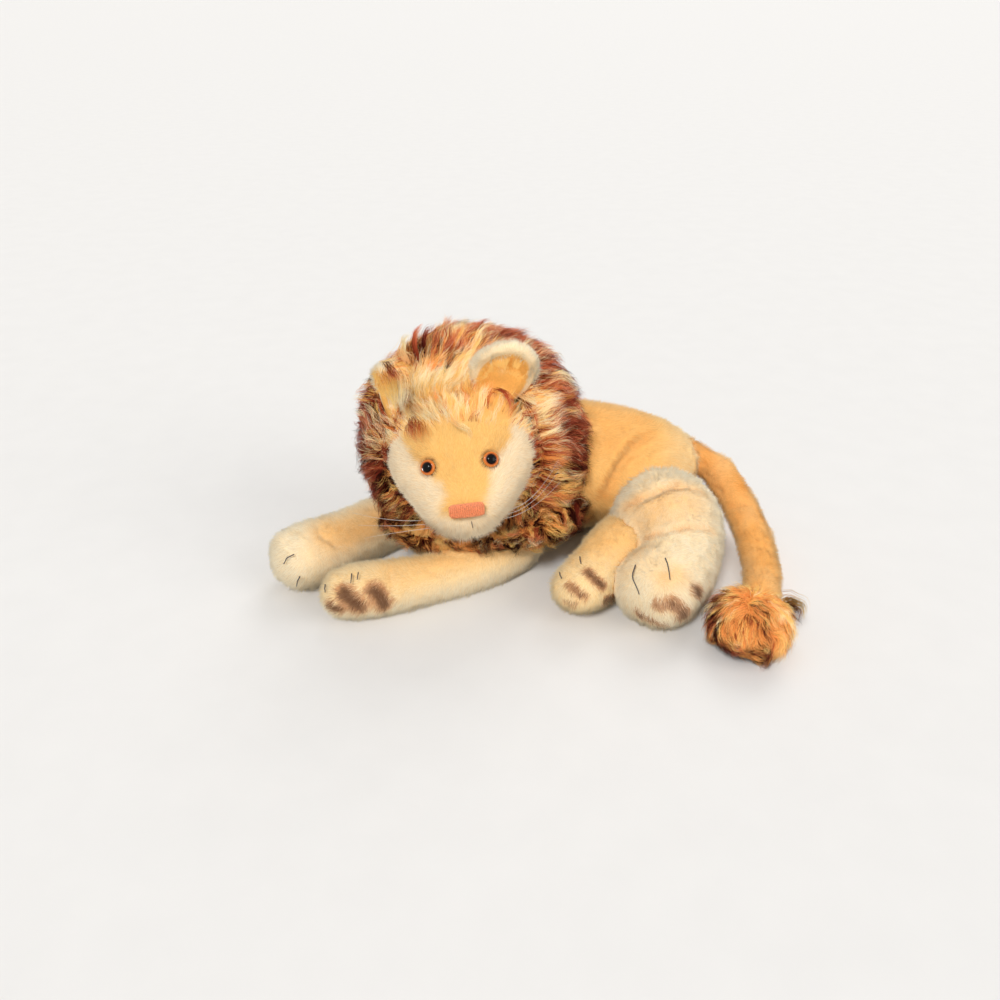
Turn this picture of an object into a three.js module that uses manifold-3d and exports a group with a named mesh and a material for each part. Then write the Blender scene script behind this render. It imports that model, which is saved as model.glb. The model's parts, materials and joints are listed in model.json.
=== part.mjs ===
import * as THREE from 'three';
import { mergeVertices } from 'three/addons/utils/BufferGeometryUtils.js';
import Module from 'manifold-3d';

// Plush lion, lying down with its head turned to its left
// Millimetres, +Z up, the forepaws reach to -X and the face looks to -Y
// Left and right are the lion's own sides, and places start on the floor under the neck

// Clearances
const touch_gap = 0.3;
const swing_gap = 0.8;
const floor_cut = 0.5;
const cut_overrun = 4;

// Torso
const torso_length = 190;
const torso_half_width = 37;
const torso_half_height = 41;
const torso_route_shares = [[-0.25, -0.02, 0.6], [-0.1, 0, 0.68], [0.06, 0.08, 0.8], [0.22, 0.165, 1],
  [0.42, 0.2, 0.95], [0.6, 0.205, 0.83], [0.7, 0.17, 0.76]];
const torso_section_shares = [[0, 0, 0], [0.03, 0.5, 0.4], [0.1, 0.74, 0.6], [0.2, 0.85, 0.7],
  [0.35, 0.93, 0.9], [0.5, 1, 1], [0.68, 1, 0.93], [0.84, 0.93, 0.8], [0.94, 0.66, 0.6],
  [0.985, 0.34, 0.34], [1, 0, 0]];

// Forelegs, each placed at its shoulder and drawn in shares of its own length
const left_foreleg_length = 140;
const left_foreleg_half_width = 17;
const left_foreleg_half_height = 15;
const left_shoulder_shares = [0.19, -0.005];
const left_foreleg_route_shares = [[0, 0, 0.9], [-0.14, -0.15, 0.8], [-0.28, -0.245, 0.78],
  [-0.55, -0.37, 0.86], [-0.71, -0.43, 1], [-0.85, -0.455, 0.96]];
const right_foreleg_length = 130;
const right_foreleg_half_width = 20.5;
const right_foreleg_half_height = 18;
const right_shoulder_shares = [-0.12, 0.195];
const right_foreleg_route_shares = [[0, 0, 0.95], [-0.19, -0.17, 0.84], [-0.32, -0.27, 0.82],
  [-0.46, -0.42, 0.88], [-0.58, -0.54, 1], [-0.68, -0.62, 0.96]];
const foreleg_section_shares = [[0, 0, 0], [0.03, 0.42, 0.5], [0.12, 0.76, 0.88], [0.3, 0.82, 0.95],
  [0.58, 0.84, 0.93], [0.78, 0.98, 1], [0.9, 0.93, 0.95], [0.975, 0.52, 0.55], [1, 0, 0]];

// Hind legs
const left_hind_leg_length = 118;
const left_hind_leg_half_width = 32;
const left_hind_leg_half_height = 29;
const left_hip_shares = [0.57, 0.12];
const left_hind_leg_route_shares = [[0, 0, 1], [-0.01, -0.2, 1], [0.02, -0.44, 0.86],
  [-0.03, -0.66, 0.7], [-0.25, -0.84, 0.62]];
const left_hind_leg_section_shares = [[0, 0, 0], [0.04, 0.5, 0.5], [0.16, 0.92, 0.9], [0.34, 0.98, 1],
  [0.52, 0.81, 0.84], [0.68, 0.71, 0.76], [0.82, 0.78, 0.74], [0.93, 0.63, 0.56], [0.985, 0.33, 0.28],
  [1, 0, 0]];
const right_hind_leg_length = 84;
const right_hind_leg_half_width = 20.5;
const right_hind_leg_half_height = 19;
const right_hip_shares = [0.51, -0.02];
const right_hind_leg_route_shares = [[0, 0, 1.14], [-0.14, -0.24, 1.08], [-0.38, -0.56, 0.96],
  [-0.62, -0.82, 0.9]];
const right_hind_leg_section_shares = [[0, 0, 0], [0.04, 0.5, 0.5], [0.16, 0.92, 0.9], [0.36, 1, 1],
  [0.62, 0.86, 0.82], [0.82, 0.8, 0.7], [0.93, 0.62, 0.54], [0.985, 0.3, 0.26], [1, 0, 0]];

// Tail and its tuft
const tail_length = 158;
const tail_half_width = 10.5;
const tail_root_height = 48;
const tail_root_shares = [0.6, 0.165];
const tail_route_shares = [[0, 0, 1], [0.12, 0.09, 0.88], [0.205, 0.07, 0.66], [0.27, -0.02, 0.38],
  [0.305, -0.15, 0.12], [0.305, -0.35, 0], [0.26, -0.55, 0], [0.2, -0.68, 0]];
const tail_section_shares = [[0, 0, 0], [0.02, 0.6, 0.6], [0.08, 1, 1], [0.5, 1, 1], [0.9, 0.95, 0.95],
  [0.98, 0.6, 0.6], [1, 0, 0]];
const tuft_length = 48;
const tuft_half_width = 23.5;
const tuft_half_height = 16;
const tuft_route_shares = [[0.02, 0.22, 1], [-0.06, -0.08, 1], [-0.18, -0.44, 0.96], [-0.28, -0.74, 0.8]];
const tuft_section_shares = [[0, 0, 0], [0.05, 0.5, 0.5], [0.25, 0.9, 0.9], [0.5, 1, 1],
  [0.78, 0.85, 0.85], [0.95, 0.45, 0.45], [1, 0, 0]];

// Neck joint, whose pin leans toward the forepaws
const neck_height = 38.4;
const neck_lean_degrees = 8;
const neck_heading_degrees = 201;
const disc_radius = 15;
const disc_thickness = 2;
const washer_radius = 6;
const washer_thickness = 0.8;
const pin_radius = 1.1;
const pin_head_radius = 3;
const pin_head_height = 2.4;
const pin_curl_reach = 5;
const pin_curl_height = 4.2;

// Head, drawn about its own centre and then turned
const head_length = 93;
const head_half_width = 49.5;
const head_jaw_share = 0.36;
const head_half_height = 38;
const head_rise = 28;
const head_side = -6;
const head_forward = 10;
const face_pitch_degrees = 3;
const face_roll_degrees = -8;
const head_route_shares = [[0.41, 0.02], [0.28, 0.03], [0.13, 0.035], [-0.04, 0.025], [-0.19, 0.01],
  [-0.32, -0.02], [-0.43, -0.04], [-0.52, -0.05], [-0.59, -0.055]];
const head_section_shares = [[0, 0, 0], [0.04, 0.49, 0.5], [0.13, 0.73, 0.76], [0.28, 0.93, 0.97],
  [0.45, 1, 1], [0.6, 0.93, 0.87], [0.73, 0.76, 0.66], [0.84, 0.61, 0.5], [0.925, 0.46, 0.36],
  [0.98, 0.26, 0.2], [1, 0, 0]];

// Mane on the head, inside a body of revolution about the neck pin, so that it can turn
const mane_radius = 65;
const mane_height = 99;
const mane_profile_shares = [[0.93, 0], [0.99, 0.14], [1, 0.32], [0.97, 0.52], [0.84, 0.73], [0.6, 0.89],
  [0.3, 0.975]];
const mane_half_width = 66;
const mane_half_depth = 40;
const mane_half_height = 70;
const mane_rise = 4;
const mane_back = 18;
const mane_side = 4;
const mane_tilt_degrees = -20;

// Ruff on the chest, under the chin
const ruff_half_width = 62;
const ruff_half_depth = 44;
const ruff_side = 2;
const ruff_half_height = 25;
const ruff_centre_height = 35;

// Ears, cupped bowls that open to the front
const ear_half_width = 18;
const ear_half_height = 22;
const ear_half_depth = 8;
const ear_thickness = 6;
const ear_back = 2;
const ear_fold_degrees = 14;
const left_ear_spread = 27.5;
const left_ear_rise = 49;
const left_ear_lean_degrees = 24;
const left_ear_turn_degrees = 8;
const right_ear_spread = 32.5;
const right_ear_rise = 43;
const right_ear_lean_degrees = -14;
const right_ear_turn_degrees = -60;

// Eyes of glass, each on a shank of bent wire
const eye_spacing = 33;
const eye_rise = 19.2;
const eye_side = 0.8;
const eye_radius = 4.7;
const eye_rim = 0.9;
const eye_dome = 1;
const eye_sink = 1.2;
const pupil_radius = 2.8;
const pupil_height = 2.6;
const pupil_rim = 0.6;
const pupil_seat = 0.6;
const shank_wire_radius = 0.4;
const shank_spread = 1.2;
const shank_length = 8;
const shank_shares = [[-1, 0], [-1, 0.5], [-1.7, 0.8], [0, 1], [1.7, 0.8], [1, 0.5], [1, 0]];

// Nose and mouth
const nose_width = 18;
const nose_height = 7;
const nose_corner = 2.6;
const nose_thickness = 1.6;
const nose_side = 2.6;
const nose_forward = 50;
const nose_rise = 0.4;
const nose_aim_degrees = 30;
const mouth_length = 4;
const mouth_side = 4;
const mouth_drop = 3.6;

// Claw threads and whiskers
const thread_radius = 0.5;
const left_forepaw_claw_shares = [[[0.716, 0.29], [0.72, 0.32], [0.724, 0.35]],
  [[0.694, 0.29], [0.698, 0.31], [0.702, 0.335]], [[0.835, 0.31], [0.85, 0.34], [0.845, 0.375]]];
const right_forepaw_claw_shares = [[[0.772, 0.365], [0.82, 0.365], [0.87, 0.39]],
  [[0.784, 0.48], [0.804, 0.52], [0.81, 0.57]]];
const left_hind_paw_claw_shares = [[[0.748, 0.215], [0.812, 0.24], [0.864, 0.345]],
  [[0.656, 0.275], [0.68, 0.315], [0.704, 0.355]]];
const right_hind_paw_claw_shares = [[[0.572, 0.2], [0.592, 0.22], [0.612, 0.245]],
  [[0.708, 0.16], [0.736, 0.175], [0.764, 0.205]]];
const whisker_radius = 0.3;
const whisker_length = 42;
const whisker_forward = 42;
const whisker_rise = -8;
const whisker_pitch = 2.5;
const left_whisker_shares = [[0.74, 0.12, 0.62], [0.78, 0.1, 0.54], [0.84, 0.08, 0.44]];
const right_whisker_shares = [[0.95, 0.1, 0.2], [0.96, 0.06, 0.08], [0.95, 0, -0.04]];

// Colours
const gold = 0xe9ad62;
const cream = 0xf3ddb4;
const tipped = 0x8a4a2c;
const ember = 0xc87f46;
const amber = 0xd8843a;
const black = 0x14100f;
const terracotta = 0xe08a5c;
const board = 0x8f7355;
const steel = 0xb4b6b8;

const wasm = await Module();
wasm.setup();

const lion = new THREE.Group();
const Z_AXIS = new THREE.Vector3(0, 0, 1);
const radians = THREE.MathUtils.degToRad;

function bare(geometry) {
  const plain = geometry.clone();
  plain.deleteAttribute('normal');
  plain.deleteAttribute('uv');
  return mergeVertices(plain);
}

function solid_of(geometry) {
  const merged = bare(geometry);
  const triVerts = new Uint32Array(merged.index.array);
  const vertProperties = new Float32Array(merged.attributes.position.array);
  return new wasm.Manifold(new wasm.Mesh({ numProp: 3, vertProperties, triVerts }));
}

function geometry_of(solid) {
  const mesh = solid.getMesh();
  const geometry = new THREE.BufferGeometry();
  geometry.setAttribute('position', new THREE.BufferAttribute(mesh.vertProperties, 3));
  geometry.setIndex(new THREE.BufferAttribute(mesh.triVerts, 1));
  geometry.computeVertexNormals();
  return geometry;
}

function cut(geometry, ...cutters) {
  return geometry_of(cutters.reduce((left, cutter) => left.subtract(solid_of(cutter)), solid_of(geometry)));
}

function common(first, second) {
  return geometry_of(solid_of(first).intersect(solid_of(second)));
}

// The same closed form, grown outward along its vertex normals
function grown(geometry, distance = touch_gap) {
  const merged = bare(geometry);
  merged.computeVertexNormals();
  const place = merged.attributes.position;
  const normal = merged.attributes.normal;
  const vertex = new THREE.Vector3();
  const outward = new THREE.Vector3();
  for (let i = 0; i < place.count; i += 1) {
    vertex.fromBufferAttribute(place, i).addScaledVector(outward.fromBufferAttribute(normal, i), distance);
    place.setXYZ(i, vertex.x, vertex.y, vertex.z);
  }
  return merged;
}

function add(name, geometry, colour, roughness = 0.9, metalness = 0) {
  const material = new THREE.MeshStandardMaterial({ color: colour, roughness, metalness });
  const mesh = new THREE.Mesh(geometry, material);
  mesh.name = name;
  lion.add(mesh);
}

// A stuffed form: oval sections along a smooth route, which swell, taper and close at both ends
// A jaw share narrows the lower side of each section
class StuffedForm {
  constructor(route_points, section_shares, half_width, half_height, jaw_share = 0) {
    this.route = new THREE.CatmullRomCurve3(route_points, false, 'centripetal');
    this.section = new THREE.CatmullRomCurve3(
      section_shares.map(([share, width, height]) => new THREE.Vector3(share, width, height)),
      false, 'centripetal');
    this.half_width = half_width;
    this.half_height = half_height;
    this.jaw_share = jaw_share;
  }

  point(t, angle) {
    const section = this.section.getPoint(t);
    const share = THREE.MathUtils.clamp(section.x, 0, 1);
    const forward = this.route.getTangentAt(share);
    const side = new THREE.Vector3().crossVectors(forward, Z_AXIS).normalize();
    const top = new THREE.Vector3().crossVectors(side, forward);
    const narrowed = 1 - this.jaw_share * (1 - Math.sin(angle)) / 2;
    return this.route.getPointAt(share)
      .addScaledVector(side, this.half_width * narrowed * Math.max(section.y, 0) * Math.cos(angle))
      .addScaledVector(top, this.half_height * Math.max(section.z, 0) * Math.sin(angle));
  }

  // A point that stands clear of the surface by a distance
  point_over(t, angle, distance) {
    const step = 0.01;
    const along = this.point(t + step, angle).sub(this.point(t - step, angle));
    const round = this.point(t, angle + step).sub(this.point(t, angle - step));
    return this.point(t, angle).addScaledVector(along.cross(round).normalize(), distance);
  }

  geometry(rings, sides) {
    const points = [this.point(0, 0)];
    for (let ring = 1; ring < rings; ring += 1) {
      for (let side = 0; side < sides; side += 1) {
        points.push(this.point(ring / rings, (side / sides) * 2 * Math.PI));
      }
    }
    points.push(this.point(1, 0));
    const faces = [];
    const at = (ring, side) => 1 + (ring - 1) * sides + (side % sides);
    for (let side = 0; side < sides; side += 1) {
      faces.push(0, at(1, side), at(1, side + 1));
      for (let ring = 1; ring < rings - 1; ring += 1) {
        faces.push(at(ring, side), at(ring + 1, side), at(ring, side + 1));
        faces.push(at(ring, side + 1), at(ring + 1, side), at(ring + 1, side + 1));
      }
      faces.push(at(rings - 1, side), points.length - 1, at(rings - 1, side + 1));
    }
    const geometry = new THREE.BufferGeometry().setFromPoints(points);
    geometry.setIndex(faces);
    geometry.computeVertexNormals();
    return geometry;
  }
}

// A form that lies on the floor, from a root placed on the torso
function lying_form(root_shares, length, half_width, half_height, route_shares, section_shares) {
  const points = route_shares.map(([x, y, rise]) => new THREE.Vector3(
    root_shares[0] * torso_length + x * length,
    root_shares[1] * torso_length + y * length,
    rise * half_height - floor_cut));
  return new StuffedForm(points, section_shares, half_width, half_height);
}

function wire(points, radius) {
  const outline = new THREE.Shape();
  outline.absarc(0, 0, radius, 0, 2 * Math.PI);
  return new THREE.ExtrudeGeometry(outline, {
    extrudePath: new THREE.CatmullRomCurve3(points),
    steps: 2 * points.length,
    curveSegments: 3,
    bevelEnabled: false,
  });
}

// Where a ray first meets a form, with the form's normal there
function surface_at(geometry, from, direction) {
  const caster = new THREE.Raycaster(from, direction.clone().normalize());
  const [hit] = caster.intersectObject(new THREE.Mesh(geometry, new THREE.MeshStandardMaterial()));
  return { point: hit.point, normal: hit.normal.clone().normalize() };
}

// A frame that stands on a surface point, its Z along the normal
function frame_on({ point, normal }) {
  const turn = new THREE.Quaternion().setFromUnitVectors(Z_AXIS, normal);
  return new THREE.Matrix4().compose(point, turn, new THREE.Vector3(1, 1, 1));
}

function ellipsoid(half_x, half_y, half_z, around, down) {
  return new THREE.SphereGeometry(1, around, down).rotateX(Math.PI / 2).scale(half_x, half_y, half_z);
}

function disc(radius, bottom, top, sides = 24) {
  return new THREE.CylinderGeometry(radius, radius, top - bottom, sides)
    .rotateX(Math.PI / 2).translate(0, 0, (top + bottom) / 2);
}

function turned(profile, sides) {
  const points = profile.map(([r, z]) => new THREE.Vector2(r, z));
  return new THREE.LatheGeometry(points, sides).rotateX(Math.PI / 2);
}

// Frames of the neck and of the turned head
const heading = radians(neck_heading_degrees);
const neck_frame = new THREE.Matrix4().makeRotationAxis(
  new THREE.Vector3(-Math.sin(heading), Math.cos(heading), 0), radians(neck_lean_degrees))
  .setPosition(0, 0, neck_height);
const head_frame = new THREE.Matrix4().makeRotationFromEuler(
  new THREE.Euler(radians(face_pitch_degrees), radians(face_roll_degrees), 0, 'ZXY'))
  .setPosition(head_side, -head_forward, neck_height + head_rise);

// Blocks that press the undersides flat and end the head at the neck
const floor_block = new THREE.BoxGeometry(4 * torso_length, 4 * torso_length, torso_length)
  .translate(0, 0, -torso_length / 2);
const below_neck = new THREE.BoxGeometry(4 * mane_radius, 4 * mane_radius, mane_height)
  .translate(0, 0, -mane_height / 2).applyMatrix4(neck_frame);

// Room that the mane fills when the head turns
const mane_profile = new THREE.SplineCurve([
  ...mane_profile_shares.map(([r, z]) => new THREE.Vector2(r * mane_radius, z * mane_height)),
  new THREE.Vector2(0, mane_height)]).getPoints(7);
const mane_room = new THREE.LatheGeometry([new THREE.Vector2(0, 0), ...mane_profile], 28)
  .rotateX(Math.PI / 2).applyMatrix4(neck_frame);
const head_room = grown(mane_room, swing_gap);

// Soft forms, before they are cut by one another
const torso_form = lying_form([0, 0], torso_length, torso_half_width, torso_half_height,
  torso_route_shares, torso_section_shares).geometry(18, 20);
const left_foreleg = lying_form(left_shoulder_shares, left_foreleg_length, left_foreleg_half_width,
  left_foreleg_half_height, left_foreleg_route_shares, foreleg_section_shares);
const right_foreleg = lying_form(right_shoulder_shares, right_foreleg_length, right_foreleg_half_width,
  right_foreleg_half_height, right_foreleg_route_shares, foreleg_section_shares);
const left_hind_leg = lying_form(left_hip_shares, left_hind_leg_length, left_hind_leg_half_width,
  left_hind_leg_half_height, left_hind_leg_route_shares, left_hind_leg_section_shares);
const right_hind_leg = lying_form(right_hip_shares, right_hind_leg_length, right_hind_leg_half_width,
  right_hind_leg_half_height, right_hind_leg_route_shares, right_hind_leg_section_shares);
const left_foreleg_form = left_foreleg.geometry(14, 14);
const right_foreleg_form = right_foreleg.geometry(14, 14);
const left_hind_leg_form = left_hind_leg.geometry(14, 14);
const right_hind_leg_form = right_hind_leg.geometry(12, 14);

const tail_points = tail_route_shares.map(([x, y, rise]) => new THREE.Vector3(
  tail_root_shares[0] * torso_length + x * tail_length,
  tail_root_shares[1] * torso_length + y * tail_length,
  tail_half_width - floor_cut + rise * (tail_root_height - tail_half_width)));
const tail_form = new StuffedForm(tail_points, tail_section_shares, tail_half_width, tail_half_width)
  .geometry(17, 12);
const tail_end = tail_points.at(-1);
const tuft_points = tuft_route_shares.map(([x, y, rise]) => new THREE.Vector3(
  tail_end.x + x * tuft_length, tail_end.y + y * tuft_length, rise * tuft_half_height - floor_cut));
const tuft_form = new StuffedForm(tuft_points, tuft_section_shares, tuft_half_width, tuft_half_height)
  .geometry(9, 14);
const ruff_form = ellipsoid(ruff_half_width, ruff_half_depth, ruff_half_height, 20, 8)
  .translate(ruff_side, 0, ruff_centre_height);

// Neck joint: pockets that open on the neck hold a disc and a washer each side of one pin
const head_disc_top = disc_thickness;
const head_washer_bottom = head_disc_top + touch_gap;
const head_washer_top = head_washer_bottom + washer_thickness;
const body_disc_top = -touch_gap;
const body_disc_bottom = body_disc_top - disc_thickness;
const body_washer_top = body_disc_bottom - touch_gap;
const body_washer_bottom = body_washer_top - washer_thickness;
const pin_head_top = body_washer_bottom - touch_gap;
const pin_head_bottom = pin_head_top - pin_head_height;
const curl_bottom = head_washer_top + touch_gap;
const curl_top = curl_bottom + pin_curl_height;
const pin_pocket_radius = Math.max(washer_radius, pin_curl_reach) + touch_gap;

function neck_ring(radius, bottom, top) {
  const hole = disc(pin_radius + touch_gap, bottom - cut_overrun, top + cut_overrun, 16);
  return cut(disc(radius, bottom, top), hole).applyMatrix4(neck_frame);
}

const head_pocket = disc(disc_radius + touch_gap, -cut_overrun, head_disc_top + touch_gap)
  .applyMatrix4(neck_frame);
const head_pin_pocket = disc(pin_pocket_radius, 0, curl_top + touch_gap).applyMatrix4(neck_frame);
const body_pocket = disc(disc_radius + touch_gap, body_disc_bottom - touch_gap, cut_overrun)
  .applyMatrix4(neck_frame);
const body_pin_pocket = disc(pin_pocket_radius, pin_head_bottom - touch_gap, 0).applyMatrix4(neck_frame);
const pin_profile = [[0, pin_head_bottom], [pin_head_radius * 0.7, pin_head_bottom],
  [pin_head_radius, (pin_head_bottom + pin_head_top) / 2], [pin_head_radius, pin_head_top],
  [pin_radius, pin_head_top], [pin_radius, curl_bottom], [pin_curl_reach * 0.8, curl_bottom],
  [pin_curl_reach, curl_bottom + pin_curl_height * 0.35], [pin_curl_reach * 0.75, curl_top], [0, curl_top]];
add('neck_disc_body', neck_ring(disc_radius, body_disc_bottom, body_disc_top), board, 0.85);
add('neck_disc_head', neck_ring(disc_radius, 0, head_disc_top), board, 0.85);
add('neck_washer_body', neck_ring(washer_radius, body_washer_bottom, body_washer_top), steel, 0.35, 1);
add('neck_washer_head', neck_ring(washer_radius, head_washer_bottom, head_washer_top), steel, 0.35, 1);
add('neck_pin', turned(pin_profile, 16).applyMatrix4(neck_frame), steel, 0.35, 1);

// Body pieces, the smaller cut by the larger and all by the floor and the room of the head
add('torso', cut(torso_form, floor_block, head_room, body_pocket, body_pin_pocket), gold);
const by_torso = grown(torso_form);
const by_left_foreleg = grown(left_foreleg_form);
const by_right_foreleg = grown(right_foreleg_form);
const by_left_hind_leg = grown(left_hind_leg_form);
add('left_foreleg', cut(left_foreleg_form, floor_block, head_room, by_torso), gold);
add('right_foreleg', cut(right_foreleg_form, floor_block, head_room, by_torso, by_left_foreleg), gold);
add('left_hind_leg', cut(left_hind_leg_form, floor_block, by_torso), cream);
add('right_hind_leg', cut(right_hind_leg_form, floor_block, by_torso, by_left_hind_leg), cream);
add('tail', cut(tail_form, floor_block, by_torso, by_left_hind_leg), gold);
add('tail_tuft', cut(tuft_form, floor_block, grown(tail_form), by_left_hind_leg), ember);
add('chest_ruff', cut(ruff_form, floor_block, head_room, by_torso, by_left_foreleg, by_right_foreleg),
  tipped);

// Head pieces, drawn about the head's own centre
const head_points = head_route_shares.map(([back, rise]) => new THREE.Vector3(
  0, back * head_length, rise * head_length));
const head_form = new StuffedForm(head_points, head_section_shares, head_half_width, head_half_height,
  head_jaw_share).geometry(18, 20);
const by_head = grown(head_form);

function ear_form(spread, rise, lean_degrees, turn_degrees) {
  const bowl = ellipsoid(ear_half_width, ear_half_depth, ear_half_height, 14, 8);
  const inner_width = ear_half_width - ear_thickness;
  const inner_height = ear_half_height - ear_thickness;
  const hollow = ellipsoid(inner_width, ear_half_depth, inner_height, 12, 6).translate(0, -ear_thickness, 0);
  const front = new THREE.BoxGeometry(4 * ear_half_width, 4 * ear_half_depth, 4 * ear_half_height)
    .translate(0, -2 * ear_half_depth - ear_thickness / 2, 0);
  return cut(bowl, hollow, front)
    .rotateX(radians(ear_fold_degrees)).rotateZ(radians(turn_degrees)).rotateY(radians(lean_degrees))
    .translate(spread, ear_back, rise);
}

const left_ear_form = ear_form(left_ear_spread, left_ear_rise, left_ear_lean_degrees, left_ear_turn_degrees);
const right_ear_form = ear_form(-right_ear_spread, right_ear_rise, -right_ear_lean_degrees,
  right_ear_turn_degrees);
add('left_ear', cut(left_ear_form, by_head).applyMatrix4(head_frame), cream);
add('right_ear', cut(right_ear_form, by_head).applyMatrix4(head_frame), cream);

const mane_dome = ellipsoid(mane_half_width, mane_half_depth, mane_half_height, 20, 10)
  .rotateX(radians(mane_tilt_degrees)).translate(mane_side, mane_back, mane_rise).applyMatrix4(head_frame);
add('mane', cut(common(mane_dome, mane_room), head_pocket, grown(head_form).applyMatrix4(head_frame),
  grown(left_ear_form).applyMatrix4(head_frame), grown(right_ear_form).applyMatrix4(head_frame)), tipped);

// Eyes: an amber glass dome with a seat for its black pupil, on a wire shank in the head
const eye_dome_curve = new THREE.SplineCurve([new THREE.Vector2(eye_radius, eye_rim),
  new THREE.Vector2(eye_radius * 0.85, eye_rim + eye_dome * 0.65),
  new THREE.Vector2(pupil_radius + touch_gap, eye_rim + eye_dome)]);
const eye_profile = [[0, 0], [eye_radius, 0], ...eye_dome_curve.getPoints(4).map(({ x, y }) => [x, y]),
  [pupil_radius + touch_gap, pupil_seat], [0, pupil_seat]];
const pupil_bottom = pupil_seat + touch_gap;
const pupil_profile = [[0, pupil_bottom], [pupil_radius, pupil_bottom]];
for (let step = 0; step <= 6; step += 1) {
  const angle = (step / 6) * (Math.PI / 2);
  pupil_profile.push([pupil_radius * Math.cos(angle),
    pupil_bottom + pupil_rim + (pupil_height - pupil_rim) * Math.sin(angle)]);
}
const sockets = [];
for (const [name, side] of [['left', 1], ['right', -1]]) {
  const from = new THREE.Vector3(eye_side + side * eye_spacing / 2, -head_length, eye_rise);
  const eye_frame = frame_on(surface_at(head_form, from, new THREE.Vector3(0, 1, 0)))
    .multiply(new THREE.Matrix4().makeTranslation(0, 0, -eye_sink)).premultiply(head_frame);
  const shank_points = shank_shares.map(([across, down]) => new THREE.Vector3(
    across * shank_spread, 0, -touch_gap - down * (shank_length - touch_gap)));
  const loop_reach = 2 * shank_spread + shank_wire_radius + touch_gap;
  sockets.push(disc(eye_radius + touch_gap, -touch_gap, eye_sink + cut_overrun).applyMatrix4(eye_frame),
    disc(loop_reach, -shank_length - shank_wire_radius - touch_gap, 0, 16).applyMatrix4(eye_frame));
  add(`${name}_eye`, turned(eye_profile, 24).applyMatrix4(eye_frame), amber, 0.08);
  add(`${name}_pupil`, turned(pupil_profile, 18).applyMatrix4(eye_frame), black, 0.05);
  add(`${name}_eye_shank`, wire(shank_points, shank_wire_radius).applyMatrix4(eye_frame), steel, 0.35, 1);
}
add('head', cut(head_form.clone().applyMatrix4(head_frame), below_neck, head_pocket, head_pin_pocket,
  ...sockets), gold);

// Nose: an embroidered pad with round corners, as thick as its thread, that follows the muzzle
const nose_outline = new THREE.Shape();
const nose_x = nose_width / 2;
const nose_y = nose_height / 2;
nose_outline.moveTo(nose_corner - nose_x, -nose_y);
nose_outline.lineTo(nose_x - nose_corner, -nose_y);
nose_outline.quadraticCurveTo(nose_x, -nose_y, nose_x, nose_corner - nose_y);
nose_outline.lineTo(nose_x, nose_y - nose_corner);
nose_outline.quadraticCurveTo(nose_x, nose_y, nose_x - nose_corner, nose_y);
nose_outline.lineTo(nose_corner - nose_x, nose_y);
nose_outline.quadraticCurveTo(-nose_x, nose_y, -nose_x, nose_y - nose_corner);
nose_outline.lineTo(-nose_x, nose_corner - nose_y);
nose_outline.quadraticCurveTo(-nose_x, -nose_y, nose_corner - nose_x, -nose_y);
const nose_prism = new THREE.ExtrudeGeometry(nose_outline,
  { depth: nose_width, curveSegments: 3, bevelEnabled: false })
  .translate(0, 0, -nose_width / 2).rotateX(radians(90 - nose_aim_degrees))
  .translate(nose_side, -nose_forward, nose_rise);
add('nose', cut(common(grown(head_form, nose_thickness + touch_gap), nose_prism), by_head)
  .applyMatrix4(head_frame), terracotta, 0.7);

// Mouth: one dark stitch under the nose
const thread_lift = thread_radius + touch_gap;
const mouth_points = [0, 0.33, 0.67, 1].map((share) => {
  const from = new THREE.Vector3(mouth_side, -head_length, -mouth_drop - share * mouth_length);
  const { point, normal } = surface_at(head_form, from, new THREE.Vector3(0, 1, 0));
  return point.addScaledVector(normal, thread_lift);
});
add('mouth_stitch', wire(mouth_points, thread_radius).applyMatrix4(head_frame), black);

// Claws: black threads laid over each paw
function add_claws(name, limb, claw_shares) {
  claw_shares.forEach((places, index) => {
    const path = new THREE.CatmullRomCurve3(places.map(([t, turn]) => new THREE.Vector3(t, turn, 0)));
    const points = path.getPoints(4).map(({ x, y }) => limb.point_over(x, 2 * Math.PI * y, thread_lift));
    add(`${name}_claw_${index + 1}`, wire(points, thread_radius), black);
  });
}
add_claws('left_forepaw', left_foreleg, left_forepaw_claw_shares);
add_claws('right_forepaw', right_foreleg, right_forepaw_claw_shares);
add_claws('left_hind_paw', left_hind_leg, left_hind_paw_claw_shares);
add_claws('right_hind_paw', right_hind_leg, right_hind_paw_claw_shares);

// Whiskers: nylon threads that leave the muzzle and bend upward
function add_whiskers(name, side, whisker_shares) {
  whisker_shares.forEach(([across, back, rise], index) => {
    const height = whisker_rise - index * whisker_pitch;
    const from = new THREE.Vector3(side * head_length, -whisker_forward, height);
    const root = surface_at(head_form, from, new THREE.Vector3(-side, 0, 0));
    const start = root.point.addScaledVector(root.normal, whisker_radius + touch_gap);
    const points = [0, 0.25, 0.5, 0.75, 1].map((share) => new THREE.Vector3(
      start.x + side * across * share * whisker_length,
      start.y + back * share * whisker_length,
      start.z + rise * share * share * whisker_length));
    add(`${name}_whisker_${index + 1}`, wire(points, whisker_radius).applyMatrix4(head_frame), cream, 0.3);
  });
}
add_whiskers('left', 1, left_whisker_shares);
add_whiskers('right', -1, right_whisker_shares);

lion.updateMatrixWorld(true);
const box = new THREE.Box3().setFromObject(lion);
lion.position.set(-(box.min.x + box.max.x) / 2, -(box.min.y + box.max.y) / 2, 0);

export default lion;
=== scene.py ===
import json
import math

import bpy
import numpy as np
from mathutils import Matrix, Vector
from mathutils.bvhtree import BVHTree
from mathutils.kdtree import KDTree


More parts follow.
